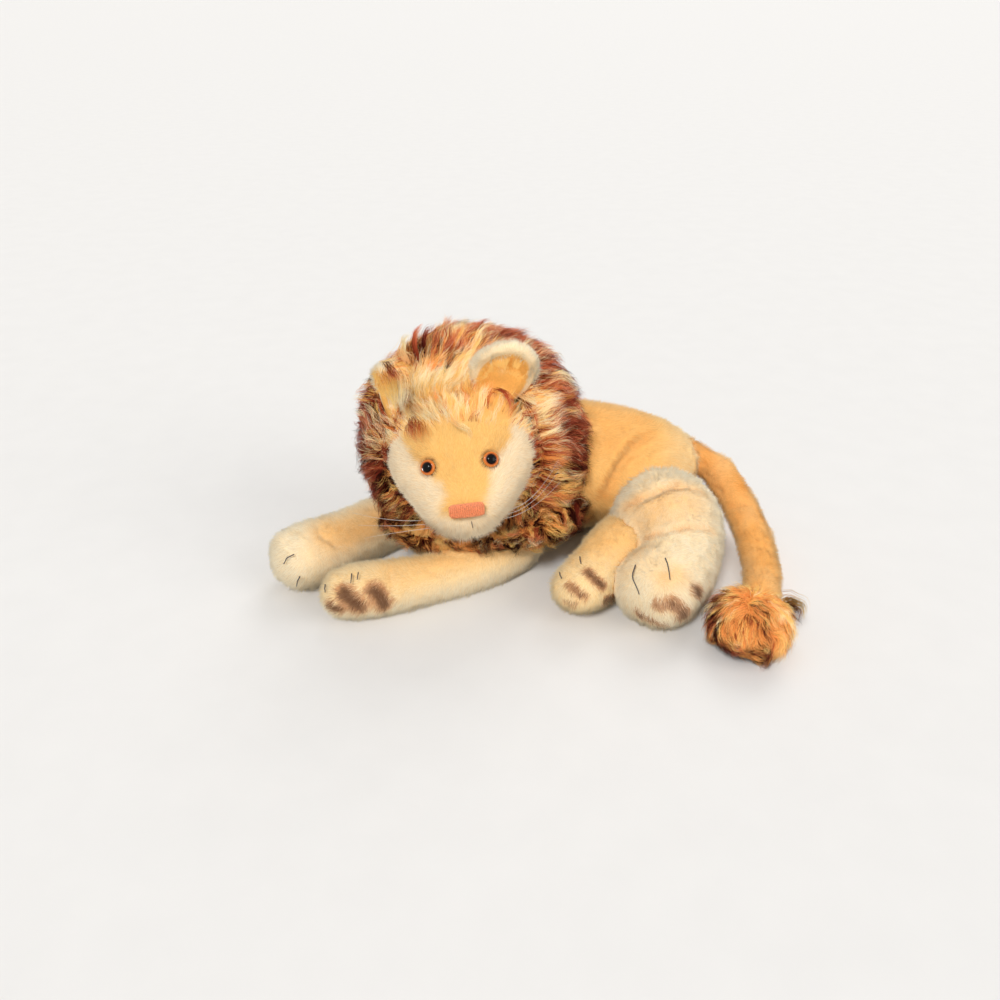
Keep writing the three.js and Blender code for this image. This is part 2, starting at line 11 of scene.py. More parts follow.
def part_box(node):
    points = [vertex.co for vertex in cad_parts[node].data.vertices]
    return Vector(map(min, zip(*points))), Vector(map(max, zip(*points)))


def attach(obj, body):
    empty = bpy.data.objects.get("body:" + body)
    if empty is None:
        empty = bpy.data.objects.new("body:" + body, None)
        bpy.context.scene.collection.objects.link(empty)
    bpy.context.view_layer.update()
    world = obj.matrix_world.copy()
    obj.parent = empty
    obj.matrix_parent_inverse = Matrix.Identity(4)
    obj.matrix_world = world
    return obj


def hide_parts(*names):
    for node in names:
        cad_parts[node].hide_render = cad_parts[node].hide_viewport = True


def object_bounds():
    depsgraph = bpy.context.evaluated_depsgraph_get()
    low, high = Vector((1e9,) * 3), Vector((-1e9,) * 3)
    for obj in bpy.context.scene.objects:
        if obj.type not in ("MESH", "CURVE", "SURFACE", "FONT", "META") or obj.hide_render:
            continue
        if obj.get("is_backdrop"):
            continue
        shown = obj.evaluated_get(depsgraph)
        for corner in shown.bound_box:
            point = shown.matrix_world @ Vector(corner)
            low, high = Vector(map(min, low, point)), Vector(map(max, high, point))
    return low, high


# Plush lion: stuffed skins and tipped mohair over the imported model
# Metres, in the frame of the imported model. Left and right are the lion's own sides

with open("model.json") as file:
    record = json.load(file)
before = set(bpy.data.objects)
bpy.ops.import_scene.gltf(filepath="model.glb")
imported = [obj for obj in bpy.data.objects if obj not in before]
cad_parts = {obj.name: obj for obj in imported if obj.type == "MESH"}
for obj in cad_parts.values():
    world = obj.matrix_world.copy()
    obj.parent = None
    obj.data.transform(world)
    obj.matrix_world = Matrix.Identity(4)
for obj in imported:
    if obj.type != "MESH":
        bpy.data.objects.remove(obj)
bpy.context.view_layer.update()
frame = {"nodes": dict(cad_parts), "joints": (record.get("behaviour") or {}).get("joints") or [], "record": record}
NODES = frame["nodes"]
BODIES = frame["record"]["behaviour"]["bodies"]
BODY_OF = {node: body for body, members in BODIES.items() for node in members}
SLOT_OF = {piece["node"]: piece["material_slot"] for piece in frame["record"]["subparts"]}
NECK = np.array(frame["joints"][0]["pos_m"])
FLOOR_UNDER_NECK = NECK * [1, 1, 0]
MM = 0.001
UP = np.array([0.0, 0.0, 1.0])

SEED = 7
rng = np.random.default_rng(SEED)


def place(points_mm):
    """Points in millimetres from the floor under the neck, in the model's frame."""
    return FLOOR_UNDER_NECK + np.array(points_mm, float) * MM


def from_floor(points):
    """Millimetres from the floor under the neck."""
    return (points - FLOOR_UNDER_NECK) / MM


def rgb(red, green, blue):
    """A display colour of 0 to 255 as linear light."""
    c = np.array([red, green, blue], float) / 255
    return np.where(c <= 0.04045, c / 12.92, ((c + 0.055) / 1.055) ** 2.4)


def unit(v):
    return v / np.maximum(np.linalg.norm(v, axis=-1, keepdims=True), 1e-12)


def mix(a, b, share):
    return a + (b - a) * share


def capped(colours):
    """Colours brought under full brightness with their hue kept."""
    return colours / np.maximum(colours.max(-1, keepdims=True), 1)


def smooth(low, high, value):
    t = np.clip((value - low) / (high - low), 0, 1)
    return t * t * (3 - 2 * t)


def turn_about(axis, angle):
    c, s = math.cos(angle), math.sin(angle)
    i, j = [(1, 2), (2, 0), (0, 1)][axis]
    turn = np.eye(3)
    turn[i, i] = turn[j, j] = c
    turn[i, j], turn[j, i] = -s, s
    return turn


# Frame of the turned head: X to the viewer's right, Y back, Z up
FACE_PITCH = math.radians(3)
FACE_ROLL = math.radians(-8)
HEAD_CENTRE = place([-6, -10, 66.4])
HEAD_TURN = turn_about(0, FACE_PITCH) @ turn_about(1, FACE_ROLL)


def in_head(points):
    """Millimetres in the head's own frame."""
    return (points - HEAD_CENTRE) @ HEAD_TURN / MM


def from_head_direction(vectors):
    return vectors @ HEAD_TURN.T


LATTICE = 32


class Noise:
    """Smooth noise from 0 to 1, from a seeded lattice."""

    def __init__(self, seed):
        self.table = np.random.default_rng(seed).random((LATTICE, LATTICE, LATTICE))

    def at(self, points, scale_mm):
        q = points / (scale_mm * MM)
        cell = np.floor(q).astype(int)
        f = q - cell
        f = f * f * (3 - 2 * f)
        total = 0
        for corner in np.ndindex(2, 2, 2):
            i, j, k = ((cell + corner) % LATTICE).T
            weight = np.prod(np.where(corner, f, 1 - f), axis=1)
            total = total + self.table[i, j, k] * weight
        return total


grain = Noise(1)
patches = Noise(2)
drift = Noise(3)


def swirl(points, scale_mm, amount):
    """Slowly turning directions."""
    shifts = (0, 0.31, 0.77)
    parts = [drift.at(points + shift, scale_mm) for shift in shifts]
    return (np.stack(parts, axis=1) - 0.5) * 2 * amount


def distance_to(points, path):
    """Distance of each point to a polyline, and the share along it."""
    best = np.full(len(points), 1e9)
    share = np.zeros(len(points))
    count = len(path) - 1
    for i in range(count):
        a, b = path[i], path[i + 1]
        t = np.clip((points - a) @ (b - a) / ((b - a) @ (b - a)), 0, 1)
        d = np.linalg.norm(points - (a + t[:, None] * (b - a)), axis=1)
        nearer = d < best
        best[nearer] = d[nearer]
        share[nearer] = (i + t[nearer]) / count
    return best, share


def vectors_of(mesh, name):
    flat = np.empty(len(mesh.vertices) * 3)
    mesh.vertices.foreach_get(name, flat)
    return flat.reshape(-1, 3)


def vertices_of(mesh):
    return vectors_of(mesh, "co")


def normals_of(mesh):
    return vectors_of(mesh, "normal")


def tree_of(points, mesh):
    return BVHTree.FromPolygons(points.tolist(), [tuple(p.vertices) for p in mesh.polygons])


def spread_of(points):
    """The middle of the points, and their axes from the least spread to the greatest."""
    middle = points.mean(0)
    return middle, np.linalg.eigh(np.cov((points - middle).T))[1]


class Solid:
    """A CAD solid that hair keeps out of."""

    def __init__(self, mesh):
        points = vertices_of(mesh)
        self.tree = tree_of(points, mesh)
        self.low = points.min(0)
        self.high = points.max(0)

    def holds(self, points):
        inside = np.zeros(len(points), bool)
        near = np.all((points > self.low) & (points < self.high), axis=1)
        for i in np.flatnonzero(near):
            spot, normal, _, _ = self.tree.find_nearest(points[i])
            inside[i] = (Vector(points[i]) - spot).dot(normal) < 0
        return inside


SOLIDS = {n: Solid(obj.data) for n, obj in NODES.items() if SLOT_OF[n].endswith("_mohair")}


def link(obj):
    bpy.context.scene.collection.objects.link(obj)
    return obj


def shade_smooth(mesh):
    mesh.polygons.foreach_set("use_smooth", np.ones(len(mesh.polygons), bool))


def set_colours(mesh, name, colours):
    layer = mesh.attributes.new(name, "FLOAT_COLOR", "POINT")
    rgba = np.ones((len(colours), 4))
    rgba[:, :3] = colours
    layer.data.foreach_set("color", rgba.ravel())


# Materials
WARM_GLOSS = (1.0, 0.86, 0.66, 1)
WARM_SHEEN = (1.0, 0.86, 0.62, 1)
SKIN_GRAIN = 900
SKIN_RELIEF = 0.4 * MM
THREAD_RELIEF = 0.2 * MM


class Surface:
    """A Principled material and what its nodes add to it."""

    def __init__(self, name, settings):
        self.material = bpy.data.materials.new(name)
        self.material.use_nodes = True
        self.nodes = self.material.node_tree.nodes
        self.join = self.material.node_tree.links.new
        self.inputs = self.nodes["Principled BSDF"].inputs
        for key, value in settings.items():
            self.inputs[key].default_value = value

    def noise(self, scale, detail):
        """Noise that stays with the piece."""
        noise = self.nodes.new("ShaderNodeTexNoise")
        noise.inputs["Scale"].default_value = scale
        noise.inputs["Detail"].default_value = detail
        self.join(self.nodes.new("ShaderNodeTexCoord").outputs["Object"], noise.inputs["Vector"])
        return noise.outputs["Fac"]

    def relief(self, height, strength, distance):
        bump = self.nodes.new("ShaderNodeBump")
        bump.inputs["Strength"].default_value = strength
        bump.inputs["Distance"].default_value = distance
        self.join(height, bump.inputs["Height"])
        self.join(bump.outputs["Normal"], self.inputs["Normal"])

    def attribute(self, name):
        colour = self.nodes.new("ShaderNodeAttribute")
        colour.attribute_name = name
        return colour.outputs["Color"]

    def mottled(self, attribute, noise, low, high):
        """Base colour from a colour attribute, made darker and lighter by noise."""
        shade = self.nodes.new("ShaderNodeMapRange")
        shade.inputs["To Min"].default_value = low
        shade.inputs["To Max"].default_value = high
        self.join(noise, shade.inputs["Value"])
        tint = self.nodes.new("ShaderNodeVectorMath")
        tint.operation = "SCALE"
        self.join(self.attribute(attribute), tint.inputs[0])
        self.join(shade.outputs["Result"], tint.inputs["Scale"])
        self.join(tint.outputs["Vector"], self.inputs["Base Color"])


def fur_material(name, gloss, sheen=0.0):
    """Hair coloured from root to tip by the colour attribute."""
    fur = Surface(name, {
        "Roughness": 0.5, "Specular IOR Level": gloss, "Specular Tint": WARM_GLOSS,
        "Sheen Weight": sheen, "Sheen Roughness": 0.4, "Sheen Tint": WARM_SHEEN})
    fur.join(fur.attribute("hair_colour"), fur.inputs["Base Color"])
    return fur.material


def skin_material(name):
    """Mohair backing: zone colours from the attribute, mottled and felted."""
    skin = Surface(name, {"Roughness": 0.9, "Specular IOR Level": 0.15})
    mottle = skin.noise(SKIN_GRAIN, 5)
    skin.mottled("zone_colour", mottle, 0.8, 1.1)
    skin.relief(mottle, 0.25, SKIN_RELIEF)
    return skin.material


def plain_material(name, colour, roughness, metallic=0.0, scale=1500.0, contrast=0.15, bump=0.1, gloss=0.5):
    """One colour broken up by fine grain."""
    plain = Surface(name, {"Roughness": roughness, "Metallic": metallic, "Specular IOR Level": gloss})
    speckle = plain.noise(scale, 4)
    ramp = plain.nodes.new("ShaderNodeValToRGB")
    dark, light = ramp.color_ramp.elements
    dark.position, light.position = 0.3, 0.7
    dark.color = (*(colour * (1 - contrast)), 1)
    light.color = (*np.minimum(colour * (1 + contrast), 1), 1)
    plain.join(speckle, ramp.inputs["Fac"])
    plain.join(ramp.outputs["Color"], plain.inputs["Base Color"])
    plain.relief(speckle, bump, THREAD_RELIEF)
    return plain.material


# Colours of the pile, as the photograph shows them
GOLD = rgb(254, 209, 137)
# Deep gold is also the painted shade in fold valleys
DEEP_GOLD = rgb(238, 158, 72)
TAIL_GOLD = rgb(251, 190, 106)
CREAM = rgb(255, 234, 190)
PALE = rgb(255, 245, 219)
PAD_EDGE = rgb(206, 156, 118)
PAD = rgb(70, 40, 33)
FACE_GOLD = rgb(254, 211, 136)
MUZZLE = rgb(255, 240, 212)
EAR_GOLD = rgb(254, 206, 124)
EAR_CREAM = rgb(255, 244, 218)
# Brown of the painted shade over the brows and round the eye sockets
PAINTED_SHADE = rgb(150, 96, 60)
# Painted shade: the backing and the roots of the short pile made darker and warmer
WARM_ROOT_SHADE = np.array([0.92, 0.79, 0.63])

# Lines that colour and folds follow, with depth and width, in millimetres from the floor under the neck
TORSO_VALLEYS = [
    ([[103, 26, 67], [95.6, 19.2, 66.1], [89.3, 13.5, 63.4], [84.1, 7.8, 58.8], [80.2, 4, 53.2],
      [76.5, 1.4, 45.9], [73, 0.2, 37.7]], 4.6, 3.4),
    ([[98.4, 15.1, 61.6], [91.1, 10.4, 59.6], [85.1, 6.5, 55.8], [81, 2.8, 49.9]], 2.4, 2.4),
    ([[69.7, 27.4, 77.2], [72.6, 17.5, 72.2], [73, 10.8, 65.9], [66, 3, 54]], 1.8, 4.0),
    ([[76, 1, 42], [88, 5, 51], [104, 15, 59], [114, 23, 59]], 1.6, 2.4),
]
TORSO_RIDGES = [
    ([[95.2, 24.5, 68.9], [86.4, 15.7, 66.7], [79.1, 7.7, 61], [75.2, 3.6, 54.5], [70.8, 0, 43.4]], 2.2, 3.0),
    ([[60, 26, 76], [63, 16, 71], [63, 9, 64], [57, 2, 52]], 1.2, 4.0),
]
THIGH_VALLEYS = [
    ([[84, -24, 44], [90.3, -21.6, 49.2], [101.2, -19, 53.4], [112, -12, 54.5]], 2.4, 2.4),
    ([[85, -39.8, 39.8], [95.3, -39.8, 46.1], [108.3, -38.4, 48.4]], 1.8, 2.2),
    ([[90, -42, 35], [102, -46, 44], [119, -43, 44], [131, -38, 38]], 1.5, 2.2),
    ([[83, -17, 42], [97, -21, 52], [115, -16, 54], [126, -14, 50]], 1.5, 2.4),
]
FORELEG_VALLEYS = [([[-90, -22, 34], [-85, -33, 32], [-77, -34, 27], [-68, -27, 21]], 1.8, 2.6)]
NEAR_FORELEG_VALLEYS = [
    ([[-44, -56, 28], [-44, -61, 26], [-43, -69, 21]], 1.2, 2.4),
    ([[-27, -53, 24], [-16, -54, 20], [1, -46, 19]], 1.2, 2.4),
]
TAIL_VALLEYS = [
    ([[149.6, 15.7, 21.6], [153.7, 11.9, 25.3], [162.2, 11, 27.2]], 1.8, 1.6),
    ([[135, 34.5, 43.8], [138.6, 34.8, 39.5], [137.6, 35.2, 33.1], [142.7, 29.8, 32.5]], 1.2, 1.6),
    ([[143.6, 28.8, 28.1], [148.1, 23.4, 27.7]], 1.2, 1.8),
    ([[153, -3, 9], [158, -22, 20], [167, -30, 18]], 0.9, 2.0),
]

# Lines of airbrushed pads, with width
LEFT_HIND_PADS = [
    ([[94.6, -82.6, 22.6], [100.5, -83.4, 23.8], [107.5, -82.7, 16.3]], 4.2),
    ([[116.4, -74.7, 23.8], [112, -76.7, 27.7]], 3.4),
    ([[85.6, -78.9, 14.1], [93.1, -81.6, 12.2], [97.2, -82.2, 11.4]], 3.2),
]
RIGHT_HIND_PADS = [
    ([[59.1, -63.7, 30], [62.6, -67.7, 27.7], [66.8, -68.8, 24]], 3.4),
    ([[47.8, -70.2, 26.2], [52.8, -74.1, 24.6], [56.9, -76.3, 21.7]], 3.0),
    ([[45.4, -73.9, 16.2], [51.9, -76.9, 16.4]], 2.4),
    ([[68.9, -69.1, 14.5], [75.7, -58, 12]], 3.0),
]
LEFT_FORE_PADS = [
    ([[-67.9, -73.6, 23], [-64.7, -76, 19.6], [-59.8, -76.4, 16.1]], 5.6),
    ([[-52.2, -71.1, 22.5], [-49.6, -72.7, 18.5], [-47.3, -72.8, 14.4]], 5.6),
    ([[-75.7, -74.6, 15.3], [-70.2, -77.3, 14.2]], 3.6),
]

# Lines of gold on pale legs, with width and share; two on the left hind leg are painted shade
LEFT_HIND_GOLD_AND_SHADE = [
    ([[92, -34, 44], [101.2, -29, 48], [115, -26, 47]], 11, 0.5),
    # Painted shade beside the shank
    ([[86, -52, 30], [88, -60, 26]], 10, 0.7),
    ([[97, -76, 32], [104, -74, 33]], 6, 0.5),
    # Painted shade along a fold valley
    (THIGH_VALLEYS[3][0], 8, 0.3),
]
RIGHT_FORE_GOLD = [([[-84.5, -27.8, 30], [-74, -24, 30], [-62, -12, 26], [-45, 0, 26]], 15, 0.8)]


def folds(valleys, ridges=()):
    """Height along the normal for pressed valleys and raised ridges."""
    def height(points):
        total = np.zeros(len(points))
        for sign, group in ((-1, valleys), (1, ridges)):
            for path, depth, width in group:
                gap, share = distance_to(points, place(path))
                fade = np.sin(np.pi * np.clip(share * 0.9 + 0.05, 0, 1)) ** 0.6
                total += sign * depth * MM * fade * np.exp(-((gap / (width * MM)) ** 2))
        return total
    return height


def blend(colours, other, shares):
    """Mixes by one share for each point."""
    return mix(colours, other, shares[:, None])


def on_line(points, path, width_mm):
    """1 on a line of places, fading over its width."""
    gap, _ = distance_to(points, place(path))
    return np.exp(-((gap / (width_mm * MM)) ** 2))


def on_lines(points, lines):
    return sum(share * on_line(points, path, width) for path, width, share in lines)


def with_pads(colour, points, pads):
    """Adds the airbrushed pads, brown with darker middles."""
    uneven = 0.7 + 0.6 * grain.at(points, 1.2)
    depth = np.max([on_line(points, path, width * uneven) for path, width in pads], axis=0)
    colour = blend(colour, PAD_EDGE, smooth(0.12, 0.5, depth) * 0.85)
    return blend(colour, PAD, smooth(0.4, 1.0, depth) * 0.82)


def lighten(colours, points):
    """Crushed pile: painted light and shade, in broad and fine patches."""
    broad = patches.at(points, 9) - 0.5
    fine = grain.at(points, 2.8) - 0.5
    return capped(colours * (1 + 0.1 * broad + 0.12 * fine)[:, None])


def torso_colour(points):
    x, _, z = from_floor(points).T
    pale = smooth(96, 128, x) * 0.6
    belly = smooth(26, 8, z) * 0.6
    # Painted shade: deep gold along the first fold valley; also a little deep gold toward the top of the back
    deep = np.maximum(on_line(points, TORSO_VALLEYS[0][0], 4) * 0.8, 0.25 * smooth(50, 72, z))
    return lighten(blend(blend(GOLD, CREAM, np.maximum(pale, belly)), DEEP_GOLD, deep), points)


def left_hind_colour(points):
    share = on_lines(points, LEFT_HIND_GOLD_AND_SHADE) + 0.25 * (patches.at(points, 14) - 0.5)
    colour = blend(PALE, GOLD, np.clip(share, 0, 1))
    # Painted shade: deep gold along the fold valleys of the thigh
    for path, _, width in THIGH_VALLEYS:
        colour = blend(colour, DEEP_GOLD, 0.45 * on_line(points, path, width))
    return lighten(with_pads(colour, points, LEFT_HIND_PADS), points)


def right_hind_colour(points):
    _, y, z = from_floor(points).T
    colour = blend(CREAM, GOLD, 0.75 * smooth(-66, -40, y) * smooth(18, 30, z))
    return lighten(with_pads(colour, points, RIGHT_HIND_PADS), points)


def left_fore_colour(points):
    x, y, z = from_floor(points).T
    share = smooth(-66, -30, x) * smooth(12, 24, z + 0.05 * y) * 0.72
    colour = blend(blend(CREAM, PALE, smooth(20, 8, z)), GOLD, share)
    return lighten(with_pads(colour, points, LEFT_FORE_PADS), points)


def right_fore_colour(points):
    x, _, z = from_floor(points).T
    share = on_lines(points, RIGHT_FORE_GOLD) * smooth(-100, -84, x)
    share = np.maximum(share, smooth(-50, -30, x)) * smooth(12, 24, z)
    return lighten(blend(PALE, GOLD, share), points)


def tail_colour(points):
    colour = blend(TAIL_GOLD, DEEP_GOLD, smooth(-10, 40, from_floor(points)[:, 1]) * 0.5)
    return lighten(blend(colour, CREAM, 0.45 * patches.at(points, 11)), points)


SIDES = ("left", "right")
EYE_PLACES = [vertices_of(NODES[f"{side}_eye"].data).mean(0) for side in SIDES]
FACE_HEIGHTS = [-16, -6, 2, 8, 14, 19, 25, 32]
GOLD_HALF_WIDTHS = [2, 8, 10, 11, 14, 19, 28, 36]


def head_colour(points):
    """Gold from the forehead to the nose between cream cheeks and muzzle, with painted shade over the brows and
    round the eyes.
    """
    x, _, z = in_head(points).T
    wobble = 7 * (patches.at(points, 9) - 0.5) + 3 * (grain.at(points, 3) - 0.5)
    half = np.interp(z, FACE_HEIGHTS, GOLD_HALF_WIDTHS) + wobble
    gold = smooth(4.5, -4.5, np.abs(x - 1.5) - half) * smooth(-3.5, 0.5, z)
    colour = blend(MUZZLE, FACE_GOLD, gold)
    # Painted shade: a darker band over each brow and a dark ring round each eye socket
    brow = np.exp(-(((np.abs(x - 1) - 21) / 5) ** 2) - (((z - 23) / 4) ** 2))
    colour = blend(colour, PAINTED_SHADE, 0.3 * brow)
    for eye in EYE_PLACES:
        socket = np.linalg.norm(points - eye, axis=1) / MM
        colour = blend(colour, PAINTED_SHADE, 0.4 * smooth(7.0, 4.6, socket))
    return lighten(colour, points)


# Skins: each soft solid, rounded, folded and set in by the depth of its pile
THIN_SHARE = 0.4
RELAX = 0.5
SEAM_REACH = 1.2 * MM
SEAM_LAP = 0.2 * MM
SKIN_OVER_FLOOR = 0.4 * MM
skins = {}


def make_skin(node, voxel_mm, rounds, inset_mm, fold, colour, lapped=False, bend=None, fill=0.8):
    """The CAD solid as a rounded skin, drawn in by the depth of its pile but not at a seam."""
    source = link(bpy.data.objects.new("draft", NODES[node].data.copy()))
    remesh = source.modifiers.new("remesh", "REMESH")
    remesh.mode = "VOXEL"
    remesh.voxel_size = voxel_mm * MM
    relax = source.modifiers.new("relax", "SMOOTH")
    relax.factor = RELAX
    relax.iterations = rounds
    graph = bpy.context.evaluated_depsgraph_get()
    mesh = bpy.data.meshes.new_from_object(source.evaluated_get(graph))
    bpy.data.objects.remove(source)
    mesh.name = f"{node}_skin"
    points, normals = vertices_of(mesh), normals_of(mesh)
    depth = np.minimum(inset_mm * MM, THIN_SHARE * thickness_under(mesh, points, normals))
    if lapped:
        depth[sewn(node, points + normals * SEAM_REACH)] = -SEAM_LAP
    points = points + normals * (fold(points) - depth)[:, None]
    # Painted shade under the pile: the backing darker and warmer than its zone
    tint = colour(points) * WARM_ROOT_SHADE
    if bend:
        points = points + bend(points)
    points[:, 2] = np.maximum(points[:, 2], SKIN_OVER_FLOOR)
    mesh.vertices.foreach_set("co", points.ravel())
    mesh.update()
    shade_smooth(mesh)
    set_colours(mesh, "zone_colour", tint)
    skin = stand_in(f"{node}_skin", node, mesh, SKIN_MATERIAL)
    skins[node] = skin


def sewn(node, points):
    """True inside a neighbour on the same body."""
    inside = np.zeros(len(points), bool)
    for other, solid in SOLIDS.items():
        if other != node and BODY_OF[other] == BODY_OF[node]:
            inside |= solid.holds(points)
    return inside


def thickness_under(mesh, points, normals):
    """Distance through the solid under each point."""
    tree = tree_of(points, mesh)
    depth = np.empty(len(points))
    for i, (point, normal) in enumerate(zip(points, normals)):
        hit = tree.ray_cast(Vector(point - normal * 0.1 * MM), Vector(-normal))
        depth[i] = hit[3] if hit[3] else 1.0
    return depth


def dress(piece, node):
    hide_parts(node)
    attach(piece, BODY_OF[node])


def stand_in(name, node, mesh, material):
    """A piece that takes the place of its CAD solid."""
    mesh.materials.clear()
    mesh.materials.append(material)
    piece = link(bpy.data.objects.new(name, mesh))
    dress(piece, node)
    return piece


def scatter(mesh, per_mm2):
    """Even random places on a mesh, with their normals."""
    mesh.calc_loop_triangles()
    count = len(mesh.loop_triangles)
    corners = np.empty(count * 3, np.int32)
    mesh.loop_triangles.foreach_get("vertices", corners)
    corners = corners.reshape(-1, 3)
    points, normals = vertices_of(mesh), normals_of(mesh)
    a, b, c = (points[corners[:, k]] for k in range(3))
    area = np.linalg.norm(np.cross(b - a, c - a), axis=1) / 2
    total = int(area.sum() / MM**2 * per_mm2)
    chosen = rng.choice(count, total, p=area / area.sum())
    u, v = rng.random((2, total))
    flip = u + v > 1
    u[flip], v[flip] = 1 - u[flip], 1 - v[flip]
    w = 1 - u - v
    tri = corners[chosen]

    def at_spots(vectors):
        return sum(vectors[tri[:, k]] * share[:, None] for k, share in enumerate((w, u, v)))
    return at_spots(points), unit(at_spots(normals))


ROOM_OVER_FLOOR = 0.8 * MM


def clear_of_neighbours(node, points, normals, reach_mm):
    """True where hair has room to grow out of its own solid."""
    probe = points + normals * reach_mm * MM
    free = probe[:, 2] > ROOM_OVER_FLOOR
    for other, solid in SOLIDS.items():
        if other != node:
            free &= ~solid.holds(probe)
    return free


# Fair mohair lets light through and casts no shadow
FAIR_LEVEL = 0.24

# Mohair tones at root, middle and tip; the darker roots are painted shade deep in the coat
CREAM_TONE = [rgb(240, 172, 108), rgb(255, 227, 168), rgb(255, 243, 214)]
GOLD_TONE = [rgb(216, 138, 66), rgb(254, 205, 116), rgb(255, 223, 152)]
ORANGE_TONE = [rgb(172, 82, 30), rgb(242, 156, 82), rgb(250, 188, 110)]
RUST_TONE = [rgb(116, 40, 20), rgb(200, 94, 58), rgb(232, 146, 106)]
BURGUNDY_TONE = [rgb(50, 12, 6), rgb(124, 44, 28), rgb(172, 84, 60)]
DARK_TONE = [rgb(24, 6, 4), rgb(56, 16, 9), rgb(46, 14, 9)]
TIPPED_TONE = [rgb(226, 148, 76), rgb(238, 166, 94), rgb(84, 28, 14)]
TONES = np.array([CREAM_TONE, GOLD_TONE, ORANGE_TONE, RUST_TONE, BURGUNDY_TONE, DARK_TONE, TIPPED_TONE])

# How deep in the coat each tone likes to lie, from 0 for light patches to 1 for dark ones
TONE_DEPTH = np.array([0, 0.2, 0.45, 0.65, 0.85, 1, 0.5])
SHARE_CONTRAST = 1.2
ANCHOR_REACH = 12.0
DEPTH_CONTRAST = 2.6
DEPTH_REACH = 0.4

# Hair as meshes of tapered strands, thickness in millimetres
PILE_THICKNESS = 0.3
LOCK_THICKNESS = 0.24
LAID_THICKNESS = 0.2
HAIR_OVER_FLOOR = 0.4 * MM
PALETTE_CELLS = 64
PALETTE_ROUNDS = 5
STRAND_SIDES = 3
TAPER = 1.6
STRANDS_IN_PIECE = 7200


def ring_faces(rings, sides):
    """Faces between rings of points that follow each other."""
    steps = [(k, (k + 1) % sides) for k in range(sides)]
    starts = range(0, (rings - 1) * sides, sides)
    return [(at + a, at + b, at + sides + b, at + sides + a) for at in starts for a, b in steps]


def circles(across, other, sides):
    """Unit circles in the planes of two directions."""
    angle = (np.arange(sides) / sides * 2 * np.pi)[:, None]
    return across[..., None, :] * np.cos(angle) + other[..., None, :] * np.sin(angle)


def between(share, stops, values):
    """Vectors between those that stand at the stops."""
    return np.stack([np.interp(share, stops, values[:, k]) for k in range(3)], -1)


def palette(knots):
    """Groups strands into cells of like colour. Knots are colours at root, middle and tip."""
    flat = np.sqrt(knots.reshape(len(knots), -1))
    centres = flat[rng.choice(len(flat), PALETTE_CELLS, replace=len(flat) < PALETTE_CELLS)]
    for _ in range(PALETTE_ROUNDS):
        gap = (flat**2).sum(1)[:, None] - 2 * flat @ centres.T + (centres**2).sum(1)
        cell = gap.argmin(1)
        for k in range(PALETTE_CELLS):
            mine = cell == k
            if mine.any():
                centres[k] = flat[mine].mean(0)
    return cell, (centres**2).reshape(PALETTE_CELLS, 3, 3)


def hair(name, node, paths, thickness_mm, knots, skin_normals, uv_span=(0.05, 0.95), soft=0.55):
    """Strands along paths of shape (strand, point, 3), thickest near the root, as one piece."""
    count, steps, _ = paths.shape
    rings, sides = steps - 1, STRAND_SIDES
    share = np.linspace(0, 1, steps)
    cell, tones = palette(knots)
    middle = share[:, None] * 2
    low, mid, tip = tones[:, 0, None], tones[:, 1, None], tones[:, 2, None]
    ladder = np.where(middle < 1, mix(low, mid, middle), mix(mid, tip, middle - 1))
    along = unit(np.gradient(paths, axis=1))
    across = unit(np.cross(along, unit(rng.normal(size=(count, 1, 3)))))
    outward = circles(across[:, :rings], np.cross(along, across)[:, :rings], sides)
    radius = thickness_mm[:, None] * (1 - share[:rings] ** TAPER) * 0.5 * MM
    ring_points = paths[:, :rings, None] + outward * radius[..., None, None]
    points = np.concatenate([ring_points.reshape(count, -1, 3), paths[:, -1:]], axis=1)
    per = rings * sides + 1
    last = (rings - 1) * sides
    faces = ring_faces(rings, sides) + [(last + k, last + (k + 1) % sides, per - 1) for k in range(sides)]
    template = np.array([i for face in faces for i in face])
    sizes = np.tile([len(face) for face in faces], count)
    loops = (np.arange(count)[:, None] * per + template).ravel()
    starts = np.concatenate([[0], np.cumsum(sizes)[:-1]])
    mesh = bpy.data.meshes.new(name)
    mesh.vertices.add(count * per)
    mesh.vertices.foreach_set("co", points.ravel())
    mesh.loops.add(len(loops))
    mesh.loops.foreach_set("vertex_index", loops.astype(np.int32))
    mesh.polygons.add(len(starts))
    mesh.polygons.foreach_set("loop_start", starts.astype(np.int32))
    mesh.update(calc_edges=True)
    shade_smooth(mesh)
    level = np.append(np.repeat(np.arange(rings), sides), rings)
    set_colours(mesh, "hair_colour", ladder[cell][:, level].reshape(-1, 3))
    side = np.append(np.tile(np.arange(sides) / (sides - 1), rings), 0.5)
    u = (cell[:, None] + 0.3 + 0.4 * side) / PALETTE_CELLS
    v = np.broadcast_to(mix(uv_span[0], uv_span[1], share[level]), u.shape)
    uv = np.stack([u, v], axis=-1).reshape(-1, 2)[loops]
    mesh.uv_layers.new(name="OFBake").data.foreach_set("uv", uv.ravel())
    facing = np.concatenate([outward.reshape(count, -1, 3), along[:, -1:]], axis=1)
    facing = unit(mix(facing, skin_normals[:, None], soft))
    mesh.normals_split_custom_set_from_vertices(facing.reshape(-1, 3))
    mesh.materials.append(LOCK_MATERIAL if rings > 1 else PILE_MATERIAL)
    piece = link(bpy.data.objects.new(name, mesh))
    piece.visible_shadow = rings > 1
    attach(piece, BODY_OF[node])
    return piece


def tangent(directions, normals):
    """Directions laid flat on the surface."""
    return unit(directions - (directions * normals).sum(-1, keepdims=True) * normals)


